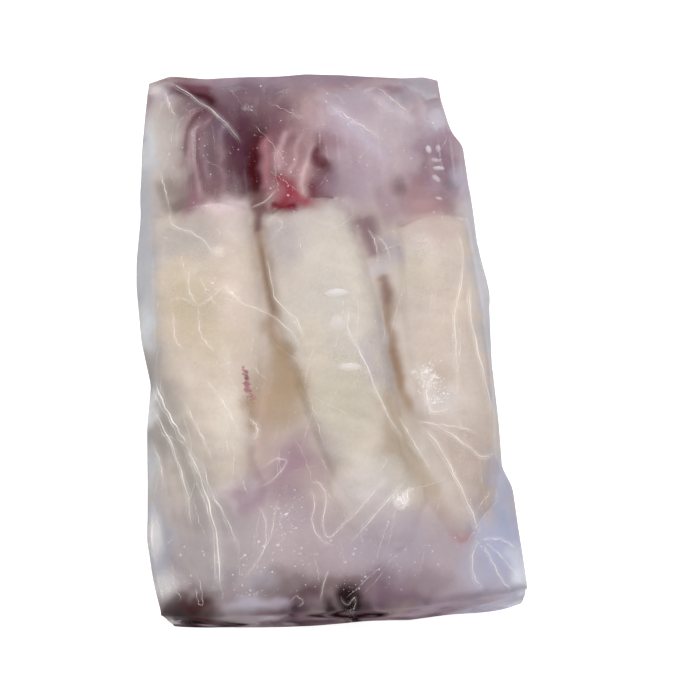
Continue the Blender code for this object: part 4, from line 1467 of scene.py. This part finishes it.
ICE_VEILS = marks((
    (0, 112, 84, 46, 0.22), (-72, 106, 10, 38, 0.75), (30, 114, 30, 24, 0.30), (52, 100, 15, 30, 0.40),
    (10, 141, 90, 10, 0.6), (-16, -122, 60, 26, 0.55), (-52, -112, 30, 26, 0.75), (26, -112, 20, 16, 0.5),
    (34, -126, 34, 20, 0.55), (-82, 60, 7, 90, 0.5),
    (((-88, -2), (-83, -22), (-77, -44), (-74, -62), (-66, -80), (-62, -102)), 10.0, 0.75, 0.8),
    (84, 10, 6, 90, 0.4), (-52, 62, 30, 9, 0.35), (0, 60, 26, 8, 0.25), (64, 48, 22, 9, 0.6),
    (30, 98, 26, 22, 0.3),
), 0xFFFFFF)
CREASES = tuple(Crease(*row) for row in (
    # Folds down the left side.
    (((-67, -63), (-62, -78), (-58, -92), (-56, -102), (-54, -115), (-54, -130),
     (-53, -141)), 2.6, 1.4, 0.6),
    (((-82, -28), (-77, -43), (-71, -56), (-66, -66)), 2.6, 1.3, 0.55),
    (((-86, -36), (-80, -50), (-74, -64), (-70, -78), (-67, -92), (-66, -108)), 1.6, 1.0, 0.5),
    (((-60, -71), (-56, -89), (-50, -102), (-44, -119)), 1.6, 0.8, 0.4),
    (((-84, -60), (-80, -74), (-79, -86)), 1.2, 0.6, 0.4),
    (((-56, -32), (-47, -47), (-40, -62)), 1.2, 0.5, 0.4),
    (((-68, -41), (-60, -59), (-54, -75)), 1.4, 0.6, 0.4),
    (((-36, -54), (-33, -57), (-32, -61), (-34, -66)), 1.4, 0.5, 0.6),
    # Loops and puckers near the low end.
    (((-34, -98), (-31, -107), (-33, -121), (-44, -134)), 1.2, 0.5, 0.35),
    (((-24, -95), (-27, -106), (-30, -116), (-41, -131)), 1.0, 0.4, 0.3),
    (((-9, -92), (-7, -99), (-9, -109), (-6, -117), (-1, -121)), 1.2, 0.5, 0.4),
    (((-9, -89), (-5, -90), (-2, -94), (-2, -102), (-4, -109), (-2, -117), (5, -112),
     (12, -103)), 1.2, 0.5, 0.4),
    (((-31, -80), (-24, -76), (-19, -78), (-26, -86), (-33, -89)), 1.0, 0.4, 0.35),
    (((38, -93), (24, -106), (8, -121)), 1.8, 1.0, 0.35),
    (((28, -92), (16, -103), (6, -112)), 1.2, 0.5, 0.35),
    (((33, -99), (31, -103), (34, -107), (37, -103), (38, -98), (43, -99)), 1.4, 0.5, 0.62),
    # The fan at the right near corner.
    (((69, -125), (79, -126), (87, -132)), 1.2, 0.6, 0.5),
    (((69, -125), (65, -131), (64, -141), (68, -149)), 1.6, 0.7, 0.4),
    (((70, -127), (73, -135), (77, -145), (81, -150)), 1.2, 0.6, 0.5),
    (((71, -126), (78, -134), (85, -145)), 1.0, 0.5, 0.4),
    # Long folds over the middle and the right squid.
    (((18, 0), (17, -13), (21, -24), (25, -36), (29, -51), (34, -64), (38, -73)), 1.3, 0.6, 0.6),
    (((37, -60), (43, -74), (50, -90)), 1.2, 0.6, 0.45),
    (((46, -64), (54, -76), (59, -88), (63, -100), (67, -113), (69, -124)), 1.8, 0.9, 0.6),
    (((46, -63), (57, -69), (67, -78), (75, -85), (81, -84)), 1.4, 0.7, 0.55),
    (((46, -64), (56, -67), (66, -70), (76, -74)), 1.2, 0.6, 0.4),
    (((79, 38), (79, 19), (75, 2), (71, -10), (69, -31), (67, -55)), 1.4, 0.7, 0.5),
    (((82, 10), (79, -8), (80, -28), (82, -48), (83, -66)), 1.4, 0.7, 0.5),
    (((54, -42), (52, -52), (54, -60), (62, -60)), 1.8, 0.7, 0.6),
    # The far left corner.
    (((-72, 147), (-64, 143), (-54, 133), (-44, 123), (-36, 112), (-31, 103)), 1.4, 0.8, 0.45),
    (((-71, 142), (-69, 133), (-66, 124)), 1.4, 0.7, 0.5),
    (((-75, 90), (-73, 80), (-71, 68)), 1.1, 0.5, 0.5),
    # The star over the left squid.
    (((-71, 71), (-69, 56), (-60, 50), (-53, 44), (-49, 37)), 1.2, 0.6, 0.45),
    (((-58, 7), (-50, 12), (-42, 20)), 1.0, 0.4, 0.4), (((-58, 7), (-57, -8), (-51, -18)), 1.0, 0.4, 0.4),
    (((-58, 7), (-66, 13), (-74, 12)), 1.0, 0.4, 0.3), (((-58, 7), (-62, 18), (-61, 30)), 1.0, 0.4, 0.3),
    (((-48, 20), (-36, 8), (-24, 2), (-12, -10), (-7, -22)), 1.2, 0.5, 0.4),
    (((-71, 7), (-70, -9), (-66, -15)), 1.0, 0.5, 0.4),
    # Short folds at the collars and the far end.
    (((-22, 36), (-20, 20), (-18, 8), (-9, -4), (-5, -16)), 1.2, 0.6, 0.5),
    (((-28, 63), (-20, 66), (-14, 72)), 0.9, 0.4, 0.5), (((-18, 57), (-12, 50), (-18, 44)), 0.9, 0.4, 0.35),
    (((19, 121), (31, 110), (44, 98)), 2.4, 0.7, 0.30), (((45, 131), (53, 121), (62, 110)), 2.0, 0.6, 0.28),
    (((32, 44), (35, 36), (36, 24)), 0.9, 0.4, 0.4), (((35, 40), (40, 34), (42, 24)), 0.9, 0.4, 0.35),
    # Small puckers along the near edge.
    (((-22, -145), (-19, -143), (-16, -146), (-19, -148)), 0.6, 0.2, 0.3),
    (((1, -145), (4, -149), (8, -146), (7, -151), (3, -151)), 0.6, 0.2, 0.3),
    (((-3, -132), (-6, -139), (-8, -146)), 0.8, 0.3, 0.4),
))
# Painted highlights: soft white patches of film cover that stand for gloss and glints on the bag.
PAINTED_HIGHLIGHTS = marks((
    (-76, 143, 5, 4, 0.4, -30), (53, -43, 5, 9, 0.26, 20), (35, -101, 5, 4, 0.22),
    (-84, -108, 3.5, 11, 0.5), (-80, -131, 6, 7, 0.4), (-46, 38, 3, 3, 0.22), (-20, 55, 3, 4, 0.3),
    (-60, 28, 8, 3, 0.10, 25), (-40, 14, 4, 9, 0.12, -12), (-45, -22, 3, 9, 0.12, 10),
    (-64, -30, 3, 10, 0.10, 8), (2, 30, 8, 5, 0.08, 30), (24, -24, 4, 12, 0.10, 15),
    (62, 20, 4, 14, 0.08, -4),
), 0xFFFFFF)
FROST = tuple(Speck(*row) for row in (
    # Grains, and more of them towards both ends.
    (0, 0, 90, 150, 1300, 0.18, 0.5), (0, 105, 80, 40, 500, 0.20, 0.6), (-10, -126, 70, 22, 700, 0.22, 0.6),
    (-45, -142, 9, 5, 60, 0.24, 0.6), (5, -146, 9, 5, 60, 0.24, 0.6), (-20, -104, 7, 12, 110, 0.26, 0.55),
    # Oval bubbles over the middle squid.
    (13, 8, 1, 1, 1, 2.8, 0.72, 90, 2.5), (12, -9, 1, 1, 1, 4.6, 0.30, 10, 1.15),
    (16, -33, 1, 1, 1, 2.7, 0.55, 84, 2.5),
    # The red speckle.
    (-35, -38, 1.4, 7.0, 90, 0.42, 0.85, 12, 1.0, 0x983248),
    (-36, -31, 1.0, 1.6, 24, 0.45, 0.9, 12, 1.0, 0x7A142C),
    # Bubbles beside the right squid's arms.
    (69, 88, 1, 1, 1, 1.8, 0.5, 5, 1.7), (74, 88, 1, 1, 1, 1.7, 0.46, -5, 1.6),
    (72, 81, 1, 1, 1, 1.5, 0.42, 70, 2.0), (73, 76, 1, 1, 1, 1.6, 0.5, 80, 2.2),
    (71, 70, 1, 1, 1, 1.8, 0.55, 35, 1.8), (71, 58, 1, 1, 1, 1.2, 0.4, 70, 1.9),
    # Grains in the puckers.
    (54, -43, 5.0, 8.0, 170, 0.36, 0.6), (57, -54, 5.0, 2.5, 70, 0.32, 0.6),
    (35, -102, 3.5, 3.5, 90, 0.36, 0.75), (-38, -143, 4, 4, 40, 0.4, 0.5), (-51, 18, 4, 4, 14, 0.36, 0.6),
    (-37, 14, 4, 4, 14, 0.36, 0.6), (-8, 82, 12, 14, 60, 0.24, 0.6),
))


def main() -> None:
    """Builds the studio, the squid, the ice, the film and the frost, in that order."""
    logging.basicConfig(level=logging.INFO, format="%(name)s %(message)s")
    Studio().build()
    block = Block()
    eye = EyeFinish().material()
    flesh = {1: FleshFinish("upper_squid_flesh").material(), -1: FleshFinish("lower_squid_flesh").material()}
    surfaces = []
    for squid in upper_squid() + lower_squid():
        surfaces += squid.build(block, flesh[squid.points], eye)
    below = TopMap()
    below.fill(surfaces)
    ice = Ice(block, below, ICE_ZONES, ICE_VEILS, UPPER_STAINS_AND_SHADE + LOWER_STAINS)
    ice.build(IceFinish().material())
    film = Film(ice, CREASES, PAINTED_HIGHLIGHTS)
    film.build(FilmFinish().material())
    Frost(film, FROST).build(FrostFinish().material())
    for name in ("ice", "bag_film", "film_pleats", "frost"):
        bpy.data.objects[name].visible_shadow = False


if __name__ == "__main__":
    main()
